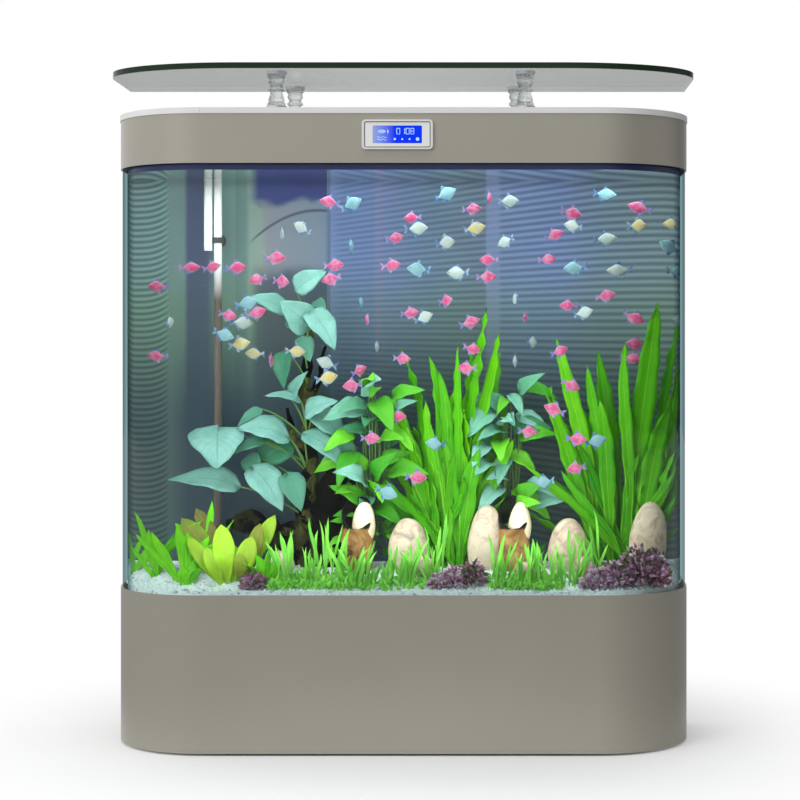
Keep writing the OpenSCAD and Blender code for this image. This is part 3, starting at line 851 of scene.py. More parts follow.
def make_groove():
    """Painted shade in the groove between the panel's frame and its inner bezel, as a thin dark ring."""
    outer, inner = rounded(0.1348, 0.0528, 0.004), rounded(0.1316, 0.0496, 0.0025)
    front, half_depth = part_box("control_housing")[0].y, 0.0002
    n = len(outer)
    verts = [Vector((x, y, z)) for y in (front - half_depth, front + half_depth)
             for ring in (outer, inner) for x, z in ring]
    faces = []
    for i in range(n):
        k = (i + 1) % n
        faces += [(i, k, n + k, n + i), (2 * n + k, 2 * n + i, 3 * n + i, 3 * n + k),
                  (i, 2 * n + i, 2 * n + k, k), (n + k, 3 * n + k, 3 * n + i, n + i)]
    build = Build()
    build.add(verts, faces)
    # Painted shade: a dark grey ring where the groove lies.
    dark = plastic("groove_painted_shade", (0.10, 0.10, 0.095), 0.5)
    build.piece("panel_groove", HOOD, [dark], sharp=40, slot="panel_plastic")


def make_symbols():
    """A plain clock, a small fish over two waves and a row of four function lights."""
    lit = Paint("lcd_lit", (0.55, 0.75, 1.0), 0.4)
    tint = lit.ramp(lit.noise(90, 2), [(0.3, (0.20, 0.36, 0.80)), (0.7, (0.42, 0.60, 0.95))])
    lit.color(tint)
    lit.link(tint, lit.b.inputs["Emission Color"])
    lit.set(Emission_Strength=0.7)
    symbols = Build()
    clock_z, lights_z, fish_z = 0.0065, -0.0095, 0.006
    for digit, x in (("0", 0.002), ("1", 0.0115), ("0", 0.021), ("8", 0.0305)):
        face_digit(symbols, digit, x, clock_z)
    for dz in (0.0035, 0.0095):
        face_disc(symbols, 0.0165, dz, 0.0008)
    for x, r in ((-0.005, 0.0024), (0.010, 0.002), (0.025, 0.002), (0.041, 0.0036)):
        face_disc(symbols, x, lights_z, r)
    face_disc(symbols, -0.0315, fish_z, 0.0075, 0.5)
    face_disc(symbols, -0.0225, fish_z, 0.005, 1.0, 4, math.radians(-60), math.radians(160))
    for row in (-0.0055, -0.0105):
        for i in range(4):
            face_bar(symbols, -0.0385 + 0.0048 * i, row + 0.0008 * (-1) ** i, 0.0045, 0.0012)
    symbols.piece("lcd_symbols", HOOD, [lit.m], smooth=False, slot="lcd")


# ---------------------------------------------------------------- crystal columns

def make_column(name, crystal):
    """A cut-crystal baluster: tapered foot and head with diamond facets between two rings."""
    low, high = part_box(name)
    center = (low + high) / 2
    radius = (high.x - low.x) / 2
    profile = [(0.0, 0.92), (0.03, 1.0), (0.09, 1.0), (0.12, 0.84), (0.20, 0.90), (0.29, 0.78),
               (0.38, 0.70), (0.45, 0.66), (0.48, 0.88), (0.52, 0.93), (0.56, 0.88), (0.59, 0.68),
               (0.67, 0.76), (0.76, 0.90), (0.83, 0.82), (0.88, 0.84), (0.91, 1.0), (0.97, 1.0),
               (1.0, 0.92)]
    sides = 14
    verts, faces = [], []
    for j, (t, share) in enumerate(profile):
        for i in range(sides):
            a = 2 * math.pi * (i + 0.5 * (j % 2)) / sides
            r = radius * share
            verts.append(Vector((center.x + r * math.cos(a), center.y + r * math.sin(a),
                                 low.z + t * (high.z - low.z))))
    for j in range(len(profile) - 1):
        for i in range(sides):
            n = (i + 1) % sides
            a, b, c, d = j * sides + i, j * sides + n, (j + 1) * sides + n, (j + 1) * sides + i
            faces += [(a, b, d), (b, c, d)] if j % 2 == 0 else [(a, b, c), (a, c, d)]
    faces.append(tuple(reversed(range(sides))))
    faces.append(tuple(range((len(profile) - 1) * sides, len(profile) * sides)))
    build = Build()
    build.add(verts, faces)
    piece = build.piece("crystal_" + name, HOOD, [crystal], smooth=False, slot="crystal")
    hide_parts(name)


# ---------------------------------------------------------------- gravel, stones, wood, pots

def make_water():
    """The body of water, which reaches the glass all round and the hood's lip above."""
    edge = plan_edge(WATER_INSET)
    build = Build()
    build.prism(*[[Vector((x, y, z)) for x, y in edge] for z in (WATER_Z, BED_LOW.z + HAIR)])
    build.piece("water", TANK, [water_material()], sharp=30, slot="tank_glass")


def make_film():
    """The printed film, a hair behind the back pane, with a plain dark back."""
    low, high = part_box("background_film")
    corners = [(low.x, low.z), (high.x, low.z), (high.x, high.z), (low.x, high.z)]
    build = Build()
    build.prism(*[[Vector((x, y, z)) for x, z in corners] for y in (low.y + 0.0004, high.y - 0.0001)])
    build.kinds[1:] = [1] * (len(build.kinds) - 1)
    sides = [film_material(), plastic("film_back", (0.045, 0.05, 0.06))]
    sheet = build.piece("printed_film", TANK, sides, smooth=False, slot="background_film")
    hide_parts("background_film")


def bed_height(x, y):
    """Top of the gravel: low at the front glass, and level from the middle to the back."""
    front_height, slope_length, slope_rise, swell = 0.014, 0.11, 0.035, 0.003
    back_off = min(1.0, max(0.0, (y - front_y(x, 0.014)) / slope_length))
    rise = back_off * back_off * (3 - 2 * back_off)
    return BED_LOW.z + front_height + slope_rise * rise + swell * noise.noise(Vector((x * 6, y * 8, 3)))


def make_gravel():
    """A closed bed with an uneven top and loose stones on it."""
    rng = random.Random(11)
    back = BACK_LOW.y - 0.0012
    half = -BED_LOW.x * 0.9995
    build = Build()
    count_x, count_y, wall_rows, loose_stones = 140, 26, 8, 1500

    def place(u, v):
        x = half * math.sin(math.pi * (u - 0.5))
        front = front_y(x, GRAVEL_INSET)
        return x, front + (back - front) * v

    def top(u, v):
        x, y = place(u, v)
        return Vector((x, y, bed_height(x, y) + 0.0015 * noise.noise(Vector((x * 90, y * 90, 0)))))

    def under(u, v):
        x, y = place(u, v)
        return Vector((x, y, BED_LOW.z + 0.001))

    build.grid(top, count_x, count_y)
    build.grid(lambda u, v: under(1 - u, v), count_x, 2)
    build.grid(lambda u, v: under(u, 0).lerp(top(u, 0), v), count_x, wall_rows)
    build.grid(lambda u, v: under(1 - u, 1).lerp(top(1 - u, 1), v), count_x, 2)
    build.grid(lambda u, v: under(0, 1 - u).lerp(top(0, 1 - u), v), count_y, wall_rows)
    build.grid(lambda u, v: under(1, u).lerp(top(1, u), v), count_y, wall_rows)
    for _ in range(loose_stones):
        u = rng.random()
        x, y = place(u, rng.random() ** 1.6 * 0.9 + 0.012)
        add_pebble(build, rng, Vector((x, y, bed_height(x, y) + 0.001)), rng.uniform(0.0018, 0.0045))
    piece = build.piece("gravel", TANK, [gravel_material()], slot="gravel")
    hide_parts("gravel_bed")


# The corners and faces of an icosahedron.
ICO = [(0, 0, 1), (0.894, 0, 0.447), (0.276, 0.851, 0.447), (-0.724, 0.526, 0.447), (-0.724, -0.526, 0.447),
       (0.276, -0.851, 0.447), (0.724, 0.526, -0.447), (-0.276, 0.851, -0.447), (-0.894, 0, -0.447),
       (-0.276, -0.851, -0.447), (0.724, -0.526, -0.447), (0, 0, -1)]
ICO_FACES = ([(0, i, i % 5 + 1) for i in range(1, 6)]
             + [(i, i + 5, i % 5 + 1) for i in range(1, 6)]
             + [(i + 5, i % 5 + 6, i % 5 + 1) for i in range(1, 6)]
             + [(11, i % 5 + 6, i + 5) for i in range(1, 6)])


def add_pebble(build, rng, at, r):
    """A small angular stone."""
    turn = Matrix.Rotation(rng.uniform(0, 6.28), 3, "Z") @ Matrix.Rotation(rng.uniform(-0.4, 0.4), 3, "X")
    scale = Vector((rng.uniform(0.8, 1.4), rng.uniform(0.8, 1.2), rng.uniform(0.5, 0.9)))
    verts = [at + turn @ (Vector(p) * scale) * r * rng.uniform(0.85, 1.1) for p in ICO]
    build.add(verts, ICO_FACES, tone=rng.random())


def cobble(build, base, height, radius, lean, flat, seed):
    """An egg-shaped stone that stands on its thick end."""
    def point(u, v):
        a = 2 * math.pi * u
        t = math.pi * v
        z = 0.5 - 0.5 * math.cos(t)
        r = radius * math.sin(t) ** 0.85 * (1.12 - 0.30 * z)
        p = Vector((r * math.cos(a) + lean * z * height, r * flat * math.sin(a), z * height))
        bump = 1 + 0.05 * noise.noise(p * 22 + Vector((seed, 0, 0)))
        return Vector(base) + p * bump
    build.grid(point, 28, 20, close=True)


def make_stones():
    """Four egg-shaped stones on end, and four low ones."""
    build = Build()
    low = SUBSTRATE_Z - 0.008
    eggs = ((0.013, -0.048, 0.116, 0.043, 0.0, 0.8), (0.166, -0.040, 0.145, 0.036, 0.08, 0.8),
            (0.344, -0.045, 0.114, 0.043, 0.0, 0.8), (0.496, -0.035, 0.150, 0.038, 0.06, 0.8),
            (0.045, -0.085, 0.042, 0.022, 0.0, 0.9), (0.375, -0.082, 0.040, 0.022, 0.0, 0.9),
            (-0.255, -0.060, 0.05, 0.035, 0.0, 0.9), (0.255, -0.085, 0.03, 0.02, 0.0, 0.9))
    for i, (x, y, height, radius, lean, flat) in enumerate(eggs):
        cobble(build, (x, y, low), height, radius, lean, flat, i + 1)
    stops = [(0.30, (0.28, 0.23, 0.20)), (0.40, (0.50, 0.34, 0.23)), (0.50, (0.64, 0.50, 0.36)),
             (0.75, (0.75, 0.64, 0.50))]
    piece = build.piece("cobbles", TANK, [pebble_material("cobble_cream", stops)], slot="pebble")
    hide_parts("egg_stones")


# A jar's wall from its foot outside to its floor inside: share of the radius, share of the height.
JAR_WALL = ((0.72, 0.0), (0.90, 0.10), (1.0, 0.35), (0.97, 0.6), (0.90, 0.84), (0.97, 0.93), (0.99, 0.98),
            (0.94, 1.0), (0.82, 0.99), (0.76, 0.92), (0.78, 0.6), (0.78, 0.3), (0.5, 0.12), (0.02, 0.1))
JAR_BORE = 8 / 13


def make_pot(node, name, seed):
    """A clay jar whose mouth is cut at a slant towards the front, with a cream stone wedged in it."""
    low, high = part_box(node)
    center = (low + high) / 2
    radius, slant = 0.034, 0.032
    around, along = 40, 46

    def point(u, v):
        step = v * (len(JAR_WALL) - 1)
        i = min(int(step), len(JAR_WALL) - 2)
        share, t = (a + (b - a) * (step - i) for a, b in zip(JAR_WALL[i], JAR_WALL[i + 1]))
        a = 2 * math.pi * u
        chip = 0.006 * noise.noise(Vector((math.cos(a) * 1.6, math.sin(a) * 1.6, seed)))
        rim = high.z - low.z + slant * (1 + math.sin(a)) + chip
        return Vector((center.x + radius * share * math.cos(a), center.y + radius * share * math.sin(a),
                       low.z - 0.004 + rim * t))

    # Painted shade: the jar's inside and its highest rim are marked for black, the shade in its mouth.
    def in_hollow_shade(u, v):
        return v > JAR_BORE or point(u, v).z > high.z - 0.005

    build = Build()
    tones = [float(in_hollow_shade(i / around, j / (along - 1))) for j in range(along) for i in range(around)]
    build.grid(point, around, along, tone=tones, close=True)
    stops = [(0.3, (0.10, 0.035, 0.010)), (0.5, (0.36, 0.17, 0.045)), (0.75, (0.62, 0.38, 0.15))]
    clay = pebble_material("jar_clay_" + name, stops, 26, hollow_shade=True)
    jar = build.piece(name, TANK, [clay], slot="clay")
    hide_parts(node)
    head = Build()
    cobble(head, (center.x + 0.011, center.y - 0.003, low.z + 0.050), 0.092, 0.025, 0.05, 0.8, seed)
    cream = [(0.3, (0.62, 0.44, 0.24)), (0.5, (0.92, 0.78, 0.54)), (0.75, (0.98, 0.92, 0.74))]
    head.piece(name + "_stone", TANK, [pebble_material("stone_" + name, cream, 24)], slot="pebble")


def branch(build, points, radii, tone, seed):
    """A gnarled limb through these points."""
    step_length, jog_size = 0.012, 0.008
    bent, swollen = [], []
    for i in range(len(points) - 1):
        a, b = Vector(points[i]), Vector(points[i + 1])
        steps = max(3, int((b - a).length / step_length))
        for k in range(steps):
            at = a.lerp(b, k / steps)
            jog = Vector((noise.noise(at * 18 + Vector((seed, 0, 0))),
                          noise.noise(at * 18 + Vector((0, seed, 9))), 0)) * jog_size
            bent.append(at + jog)
            swollen.append(radii[i] + (radii[i + 1] - radii[i]) * k / steps)
    build.tube(bent + [Vector(points[-1])], swollen + [radii[-1]], 14, tone, wobble=0.55, seed=seed)


# Each limb of the wood: the points it runs through, its radii there, and how mossy it is.
LIMB_FOOT = SUBSTRATE_Z - 0.01
LIMBS = (
    (((-0.195, 0.06, LIMB_FOOT), (-0.205, 0.06, 0.50), (-0.198, 0.058, 0.62), (-0.212, 0.062, 0.75),
      (-0.202, 0.06, 0.84), (-0.206, 0.06, 0.90)), (0.028, 0.022, 0.014, 0.012, 0.009, 0.006), 0.9),
    (((-0.150, 0.05, LIMB_FOOT), (-0.158, 0.05, 0.44), (-0.150, 0.05, 0.53), (-0.135, 0.05, 0.60)),
     (0.050, 0.044, 0.030, 0.014), 0.05),
    (((-0.125, 0.045, LIMB_FOOT), (-0.128, 0.045, 0.42), (-0.118, 0.04, 0.50), (-0.10, 0.04, 0.55)),
     (0.030, 0.028, 0.022, 0.010), 0.0),
    (((-0.175, 0.03, LIMB_FOOT), (-0.19, 0.01, 0.41), (-0.225, -0.01, 0.445), (-0.27, -0.02, 0.45)),
     (0.034, 0.026, 0.018, 0.008), 0.5),
    (((-0.20, 0.09, LIMB_FOOT), (-0.26, 0.10, 0.42), (-0.33, 0.11, 0.455), (-0.38, 0.11, 0.45)),
     (0.034, 0.030, 0.024, 0.010), 0.3),
    (((-0.203, 0.06, 0.60), (-0.235, 0.05, 0.64), (-0.245, 0.05, 0.70)), (0.010, 0.007, 0.003), 0.8),
    (((-0.205, 0.06, 0.72), (-0.175, 0.05, 0.77), (-0.165, 0.05, 0.83)), (0.009, 0.006, 0.003), 0.8))


def make_driftwood():
    build = Build()
    for i, (points, radii, moss) in enumerate(LIMBS):
        branch(build, points, radii, moss, i + 1)
    piece = build.piece("driftwood_limbs", TANK, [wood_material()], slot="driftwood")
    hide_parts("driftwood")


# ---------------------------------------------------------------- plants

def heart(t):
    """Half-width of a heart-shaped leaf along its length."""
    return max(0.0, math.sin(math.pi * t ** 0.62)) ** 0.8 * (1 - 0.15 * t)


def oval(t):
    """Half-width of a plain small leaf."""
    return max(0.0, math.sin(math.pi * t ** 0.85)) ** 0.8


def blunt(t):
    """Half-width of a spoon-shaped leaf, widest beyond its middle."""
    return max(0.0, math.sin(math.pi * t ** 1.35)) ** 0.6


def strap(t):
    """Half-width of a long blade: narrow at its foot, widest past the middle, pointed."""
    return (0.30 + 0.70 * min(1.0, t * 1.7)) * (1 - t ** 7) ** 0.9


def leaf(build, base, tip, width, hint, outline, tone, curl, fold, wave=0.0, along=11,
         across=7, lobe=0.0, seed=0.0, kind=0):
    """A leaf from base to tip. hint is roughly where its face looks, curl bends it and fold creases it."""
    base, tip = Vector(base), Vector(tip)
    axis = tip - base
    length = axis.length
    axis.normalize()
    side = axis.cross(Vector(hint)).normalized()
    face = side.cross(axis)

    def point(u, v):
        s = 2 * u - 1
        half = 0.5 * width * outline(v)
        ripple = wave * math.sin(v * 17 + seed + 2.0 * s) * abs(s) ** 1.5
        back = lobe * length * s * s * max(0.0, 1 - 3 * v)
        sag = curl * length * math.sin(math.pi * min(1.0, v * 1.05)) - curl * 1.2 * length * v * v
        return (base + axis * (length * v - back) + side * (half * s)
                + face * (sag + fold * half * abs(s) + ripple * width))

    build.grid(point, across, along, tone=tone, kind=kind)


def stalk(build, start, end, r, bend, tone):
    """A thin stem that tapers towards its leaf."""
    points, taper = 8, 0.35
    radii = [r * (1 - taper * i / (points - 1)) for i in range(points)]
    build.tube(bow(start, end, bend, points), radii, 6, tone, kind=1)


def thicken(piece, by=0.0007):
    """Turns thin leaves into closed sheets."""
    mod = piece.modifiers.new("leaf_thickness", "SOLIDIFY")
    mod.thickness = by
    mod.offset = 0.0
    return piece


STEM_COLORS = ((0.16, 0.30, 0.07), (0.08, 0.20, 0.04), (0.2, 0.3, 0.1))

# Leaves of the tall plant on the wood: each one's foot, tip, width, facing, tone, and the depth of the
# lobes at its foot.
TALL_LEAVES = [
    ((-0.389, 0.020, 0.652), (-0.384, -0.050, 0.578), 0.125, (0, -0.5, 0.85), 0.95, 0.16),
    ((-0.345, 0.020, 0.535), (-0.480, -0.010, 0.562), 0.070, (0, -0.75, 0.65), 0.85, 0.05),
    ((-0.245, 0.030, 0.640), (-0.345, -0.020, 0.668), 0.085, (0.1, -0.7, 0.7), 0.85, 0.08),
    ((-0.312, 0.010, 0.572), (-0.244, -0.040, 0.490), 0.082, (0.3, -0.85, 0.4), 0.90, 0.10),
    ((-0.240, 0.000, 0.560), (-0.208, -0.040, 0.488), 0.062, (0.3, -0.8, -0.3), 0.30, 0.10),
    ((-0.248, 0.040, 0.905), (-0.335, 0.010, 0.945), 0.060, (0.2, -0.8, 0.5), 0.80, 0.04),
    ((-0.200, 0.020, 0.872), (-0.262, -0.020, 0.935), 0.088, (0.1, -0.9, 0.3), 0.95, 0.12),
    ((-0.228, 0.040, 0.948), (-0.152, 0.030, 1.000), 0.066, (-0.2, -0.9, 0.3), 1.00, 0.02),
    ((-0.192, 0.010, 0.900), (-0.128, -0.030, 0.815), 0.078, (0.4, -0.8, 0.3), 0.95, 0.12),
    ((-0.252, 0.050, 0.822), (-0.256, 0.030, 0.728), 0.056, (-0.3, -0.8, 0.1), 0.15, 0.00),
    ((-0.237, 0.050, 0.716), (-0.206, 0.020, 0.782), 0.040, (-0.5, -0.7, 0.3), 0.70, 0.00),
    ((-0.215, 0.040, 0.712), (-0.292, 0.010, 0.735), 0.034, (0.0, -0.6, 0.8), 0.80, 0.00),
    ((-0.205, 0.020, 0.688), (-0.138, -0.010, 0.722), 0.058, (0.2, -0.7, 0.6), 0.85, 0.06),
    ((-0.208, 0.010, 0.648), (-0.104, -0.030, 0.575), 0.060, (0.2, -0.7, 0.6), 0.75, 0.04),
    ((-0.188, 0.020, 0.690), (-0.112, 0.010, 0.630), 0.072, (0.2, -0.7, 0.6), 0.60, 0.08),
    ((-0.296, 0.030, 0.698), (-0.352, 0.010, 0.664), 0.030, (0.0, -0.7, 0.6), 0.30, 0.00),
    ((-0.292, 0.020, 0.632), (-0.358, -0.010, 0.610), 0.036, (0.0, -0.7, 0.6), 0.30, 0.00),
    ((-0.240, 0.050, 0.630), (-0.326, 0.040, 0.572), 0.078, (0.0, -0.8, 0.3), 0.10, 0.06),
    ((-0.250, 0.060, 0.880), (-0.200, 0.040, 0.905), 0.050, (0.0, -0.8, 0.4), 0.35, 0.06),
    ((-0.190, 0.050, 0.925), (-0.158, 0.030, 0.905), 0.040, (0.3, -0.8, 0.4), 0.40, 0.00),
    ((-0.215, 0.030, 0.850), (-0.190, 0.010, 0.790), 0.052, (0.2, -0.8, 0.2), 0.45, 0.04),
    ((-0.325, 0.040, 0.600), (-0.300, 0.010, 0.548), 0.050, (-0.3, -0.7, 0.3), 0.25, 0.05),
]


def wood_point(z):
    """The point of the upright limb nearest to height z."""
    return Vector((-0.204, 0.058, min(0.88, max(0.44, z))))


def make_tall_plant():
    build = Build()
    upper_z, upper_size, lower_size = 0.80, 0.84, 0.95
    for i, (base, tip, width, hint, tone, lobe) in enumerate(TALL_LEAVES):
        size = upper_size if base[2] > upper_z else lower_size
        tone *= size - 0.05
        leaf(build, base, Vector(base).lerp(Vector(tip), size), width * size, hint, heart, tone,
             0.10, 0.18, 0.035, lobe=lobe, seed=i)
        stalk(build, wood_point(base[2] - 0.07), base, 0.0019, (0, -0.010, 0.012), tone)
    kinds = [leaf_material("leaf_mint", (0.34, 0.62, 0.60), (0.014, 0.15, 0.06), (0.06, 0.26, 0.18)),
             leaf_material("stem_green", *STEM_COLORS)]
    piece = thicken(build.piece("tall_plant", TANK, kinds, slot="anubias_leaf"))
    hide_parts("anubias_left")


def make_bushy_plant(node, name, seed):
    """A clump of heart-shaped leaves on long stalks, some mint and some bright green."""
    rng = random.Random(seed)
    low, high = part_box(node)
    cx, cy = (low.x + high.x) / 2 - 0.012, (low.y + high.y) / 2
    build = Build()
    count, foot_count, foot_share = 44, 14, 0.24
    for i in range(count):
        a = math.radians(rng.uniform(-205, 25))
        at_foot = i < foot_count
        if at_foot:
            share = rng.uniform(0.02, foot_share)
            reach = rng.uniform(0.02, 0.08)
        else:
            share = foot_share + 0.74 * ((i - foot_count) / (count - foot_count)) ** 0.85
            reach = rng.uniform(0.01, 0.060)
        base = Vector((cx + reach * math.cos(a), cy - 0.07 + 0.55 * reach * math.sin(a),
                       low.z + (high.z - low.z) * share))
        size = rng.uniform(0.030, 0.050) if at_foot else rng.uniform(0.058, 0.095)
        out = Vector((math.cos(a) + rng.uniform(-0.4, 0.4), 0.5 * math.sin(a) - 0.3,
                      rng.uniform(-0.8, 0.7))).normalized()
        kind = 2 if at_foot or rng.random() < 0.45 else 0
        width = size * rng.uniform(0.42, 0.62)
        tone = rng.choice((0.15, 0.4, 0.6, 0.85, 1.0))
        leaf(build, base, base + out * size, width, (0.3 * math.cos(a), -0.85, 0.45), heart, tone,
             0.14, 0.25, 0.05, lobe=0.08, seed=i, kind=kind)
        start = (cx, cy - 0.03, low.z + 0.02 + 0.1 * rng.random())
        stalk(build, start, base, 0.0015, (0.01 * math.cos(a), -0.01, 0), 0.3)
    mint = ((0.34, 0.66, 0.60), (0.02, 0.20, 0.05), (0.05, 0.26, 0.16))
    green = ((0.22, 0.72, 0.03), (0.025, 0.26, 0.01), (0.10, 0.40, 0.02))
    kinds = [leaf_material("leaf_mint_" + name, *mint), leaf_material("stem_" + name, *STEM_COLORS),
             leaf_material("leaf_green_" + name, *green)]
    piece = thicken(build.piece(name, TANK, kinds, slot="anubias_leaf"))
    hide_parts(node)


def blade(build, base, top, width, tone, rng, along=22, wave=1.0):
    """A long ribbon leaf that rises from base, leans over to top, twists and ripples; its tone is painted
    lower towards its foot, as shade.
    """
    base, top = Vector(base), Vector(top)
    reach = top - base
    knee = base + Vector((reach.x * rng.uniform(0.15, 0.45), reach.y * 0.3, reach.z * 0.55))
    sway, phase = rng.uniform(-0.012, 0.012) * wave, rng.uniform(0, 6.28)
    turn, twist = rng.uniform(-0.5, 0.5), rng.uniform(-0.9, 0.9)
    ripples = reach.length / 0.05
    across, full_turn = 5, 6.28
    verts, uvs, tones = [], [], []
    for j in range(along):
        v = j / (along - 1)
        center = base.lerp(knee, v).lerp(knee.lerp(top, v), v)
        center += Vector((sway * math.sin(math.pi * 2 * v), 0.4 * sway * math.cos(5 * v), 0)) * v
        ahead = (knee - base).lerp(top - knee, v).normalized()
        a = turn + twist * v
        side = (Vector((math.cos(a), math.sin(a), 0)) - ahead * ahead.x * math.cos(a)).normalized()
        face = side.cross(ahead)
        half = 0.5 * width * strap(v) * (1 + 0.10 * wave * math.sin(ripples * 4 * v + phase))
        for i in range(across):
            k = 2 * i / (across - 1) - 1
            edge = 0.14 * width * wave * math.sin(ripples * full_turn * v + phase + 1.3 * k) * k * k
            verts.append(center + side * (half * k) + face * (edge - 0.22 * half * (1 - abs(k))))
            uvs.append((i / (across - 1), v))
            # Painted shade: the tone is lower at the foot and rises towards the top, with a small ripple.
            tones.append(min(1.0, max(0.0, tone * (0.55 + 0.40 * v) + 0.10 * math.sin(9 * v + phase))))
    faces = [(j * across + i, j * across + i + 1, (j + 1) * across + i + 1, (j + 1) * across + i)
             for j in range(along - 1) for i in range(across - 1)]
    build.add(verts, faces, uvs, tones)


# Tops of the long blades: x, z and width.
MIDDLE_TOPS = ((-0.005, 0.825, 0.030), (-0.02, 0.72, 0.028), (0.055, 0.81, 0.026), (0.075, 0.78, 0.024),
               (0.115, 0.83, 0.022), (0.175, 0.91, 0.034), (0.200, 0.86, 0.026), (0.02, 0.66, 0.024),
               (0.215, 0.72, 0.028), (0.13, 0.70, 0.030), (0.16, 0.66, 0.030))
RIGHT_TOPS = ((0.320, 0.848, 0.032), (0.308, 0.745, 0.030), (0.410, 0.822, 0.026), (0.385, 0.79, 0.024),
              (0.455, 0.84, 0.022), (0.515, 0.925, 0.036), (0.555, 0.905, 0.022), (0.345, 0.66, 0.026),
              (0.550, 0.72, 0.030), (0.480, 0.72, 0.032), (0.53, 0.64, 0.028), (0.565, 0.80, 0.020))


def make_sword(node, name, tops, seed):
    """A fan of long bright blades; tops are given ends, and shorter ones fill the foot."""
    rng = random.Random(seed)
    low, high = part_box(node)
    cx, cy = (low.x + high.x) / 2 + 0.01, (low.y + high.y) / 2 - 0.02
    foot, short_blades = low.z - 0.004, 20
    build = Build()
    for x, z, width in tops:
        for extra in range(2):
            dx, dz = extra * rng.uniform(-0.035, 0.035), -extra * rng.uniform(0.04, 0.13)
            base = (cx + 0.22 * (x - cx) + rng.uniform(-0.012, 0.012),
                    cy + rng.uniform(-0.015, 0.015), foot)
            top = (min(RIGHTMOST_X, x + dx), cy + rng.uniform(-0.05, 0.05), z + dz)
            blade(build, base, top, width * rng.uniform(1.0, 1.3), rng.uniform(0.35, 1.0), rng)
    for _ in range(short_blades):
        lean = math.radians(rng.uniform(-55, 55))
        tall = rng.uniform(0.10, 0.30)
        base = (cx + rng.uniform(-0.028, 0.028), cy + rng.uniform(-0.02, 0.01), foot)
        top = (min(RIGHTMOST_X, base[0] + tall * math.sin(lean)), cy - rng.uniform(0.0, 0.06),
               foot + tall * math.cos(lean))
        blade(build, base, top, rng.uniform(0.014, 0.024), rng.uniform(0.1, 0.9), rng, along=14)
    bright, dark, vein = (0.175, 0.58, 0.003), (0.028, 0.27, 0.003), (0.28, 0.68, 0.02)
    kinds = [leaf_material("blade_" + name, bright, dark, vein, 1.0, 0.2)]
    piece = thicken(build.piece(name, TANK, kinds, slot="sword_leaf"))
    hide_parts(node)


def make_tufts():
    """Bright blades at the left front, growing in small fans."""
    rng = random.Random(5)
    build = Build()
    fans = [(-0.548, -0.020, 4, 0.14), (-0.505, -0.065, 5, 0.19), (-0.450, -0.100, 6, 0.18),
            (-0.408, -0.06, 3, 0.16), (-0.285, -0.115, 6, 0.10), (-0.44, -0.115, 4, 0.08)]
    for cx, cy, count, tall in fans:
        for i in range(count):
            lean = math.radians(-48 + 96 * (i + 0.5) / count + rng.uniform(-6, 6))
            h = tall * rng.uniform(0.55, 1.0) * (1.0 - 0.25 * abs(lean))
            x = max(LEFTMOST_X, cx + h * math.sin(lean))
            y = max(front_y(x, 0.0) + 0.030, cy + rng.uniform(-0.02, 0.03))
            foot = bed_height(cx, cy) - 0.006
            blade(build, (cx + rng.uniform(-0.01, 0.01), cy, foot), (x, y, foot + h * math.cos(lean)),
                  rng.uniform(0.015, 0.024), rng.uniform(0.5, 1.0), rng, along=12, wave=0.6)
    bright, dark, vein = (0.30, 0.90, 0.006), (0.05, 0.42, 0.006), (0.45, 0.95, 0.06)
    kinds = [leaf_material("blade_tuft", bright, dark, vein, 1.0, 0.25)]
    piece = thicken(build.piece("front_tufts", TANK, kinds, slot="grass_leaf"))
    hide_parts("tuft_left")


def make_red_leaves():
    """Broad olive and reddish leaves left of the wood."""
    rng = random.Random(8)
    build = Build()
    places = [(-0.355, -0.110, -0.368, 0.465, 0.046, 1.0), (-0.335, -0.100, -0.305, 0.440, 0.042, 0.65),
              (-0.365, -0.115, -0.400, 0.420, 0.032, 0.9), (-0.320, -0.080, -0.290, 0.465, 0.034, 0.25),
              (-0.370, -0.060, -0.450, 0.475, 0.042, 0.35), (-0.360, -0.050, -0.425, 0.495, 0.036, 0.10),
              (-0.325, -0.050, -0.262, 0.480, 0.036, 0.75), (-0.345, -0.105, -0.345, 0.425, 0.034, 0.95),
              (-0.325, -0.110, -0.330, 0.405, 0.028, 0.4), (-0.375, -0.10, -0.435, 0.440, 0.030, 0.8)]
    for x, y, tx, tz, width, tone in places:
        foot = bed_height(x, y) - 0.006
        leaf(build, (x, y, foot), (tx, y - rng.uniform(0.0, 0.03), tz), width, (0.1, -1, 0.2), blunt, tone,
             0.06, 0.15, 0.03, along=12, seed=tone * 9)
    kinds = [leaf_material("leaf_olive", (0.40, 0.90, 0.008), (0.13, 0.09, 0.02), (0.42, 0.34, 0.05), 9.0)]
    piece = thicken(build.piece("olive_leaves", TANK, kinds, slot="red_leaf"))
    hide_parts("red_leaf_plant")


# Clumps of thin grass: x, y, number of blades, height.
GRASS_CLUMPS = (
    (-0.135, -0.100, 9, 0.13), (-0.100, -0.125, 11, 0.10), (-0.070, -0.130, 10, 0.11),
    (-0.02, -0.125, 9, 0.09), (0.020, -0.125, 12, 0.12), (0.055, -0.120, 8, 0.12),
    (0.205, -0.125, 11, 0.12), (0.245, -0.130, 10, 0.10), (0.275, -0.120, 10, 0.12),
    (0.36, -0.120, 11, 0.12), (-0.19, -0.120, 10, 0.09), (-0.235, -0.12, 10, 0.12),
    (-0.165, -0.10, 8, 0.14), (0.32, -0.12, 8, 0.10), (0.40, -0.07, 8, 0.14), (0.07, -0.07, 8, 0.13))


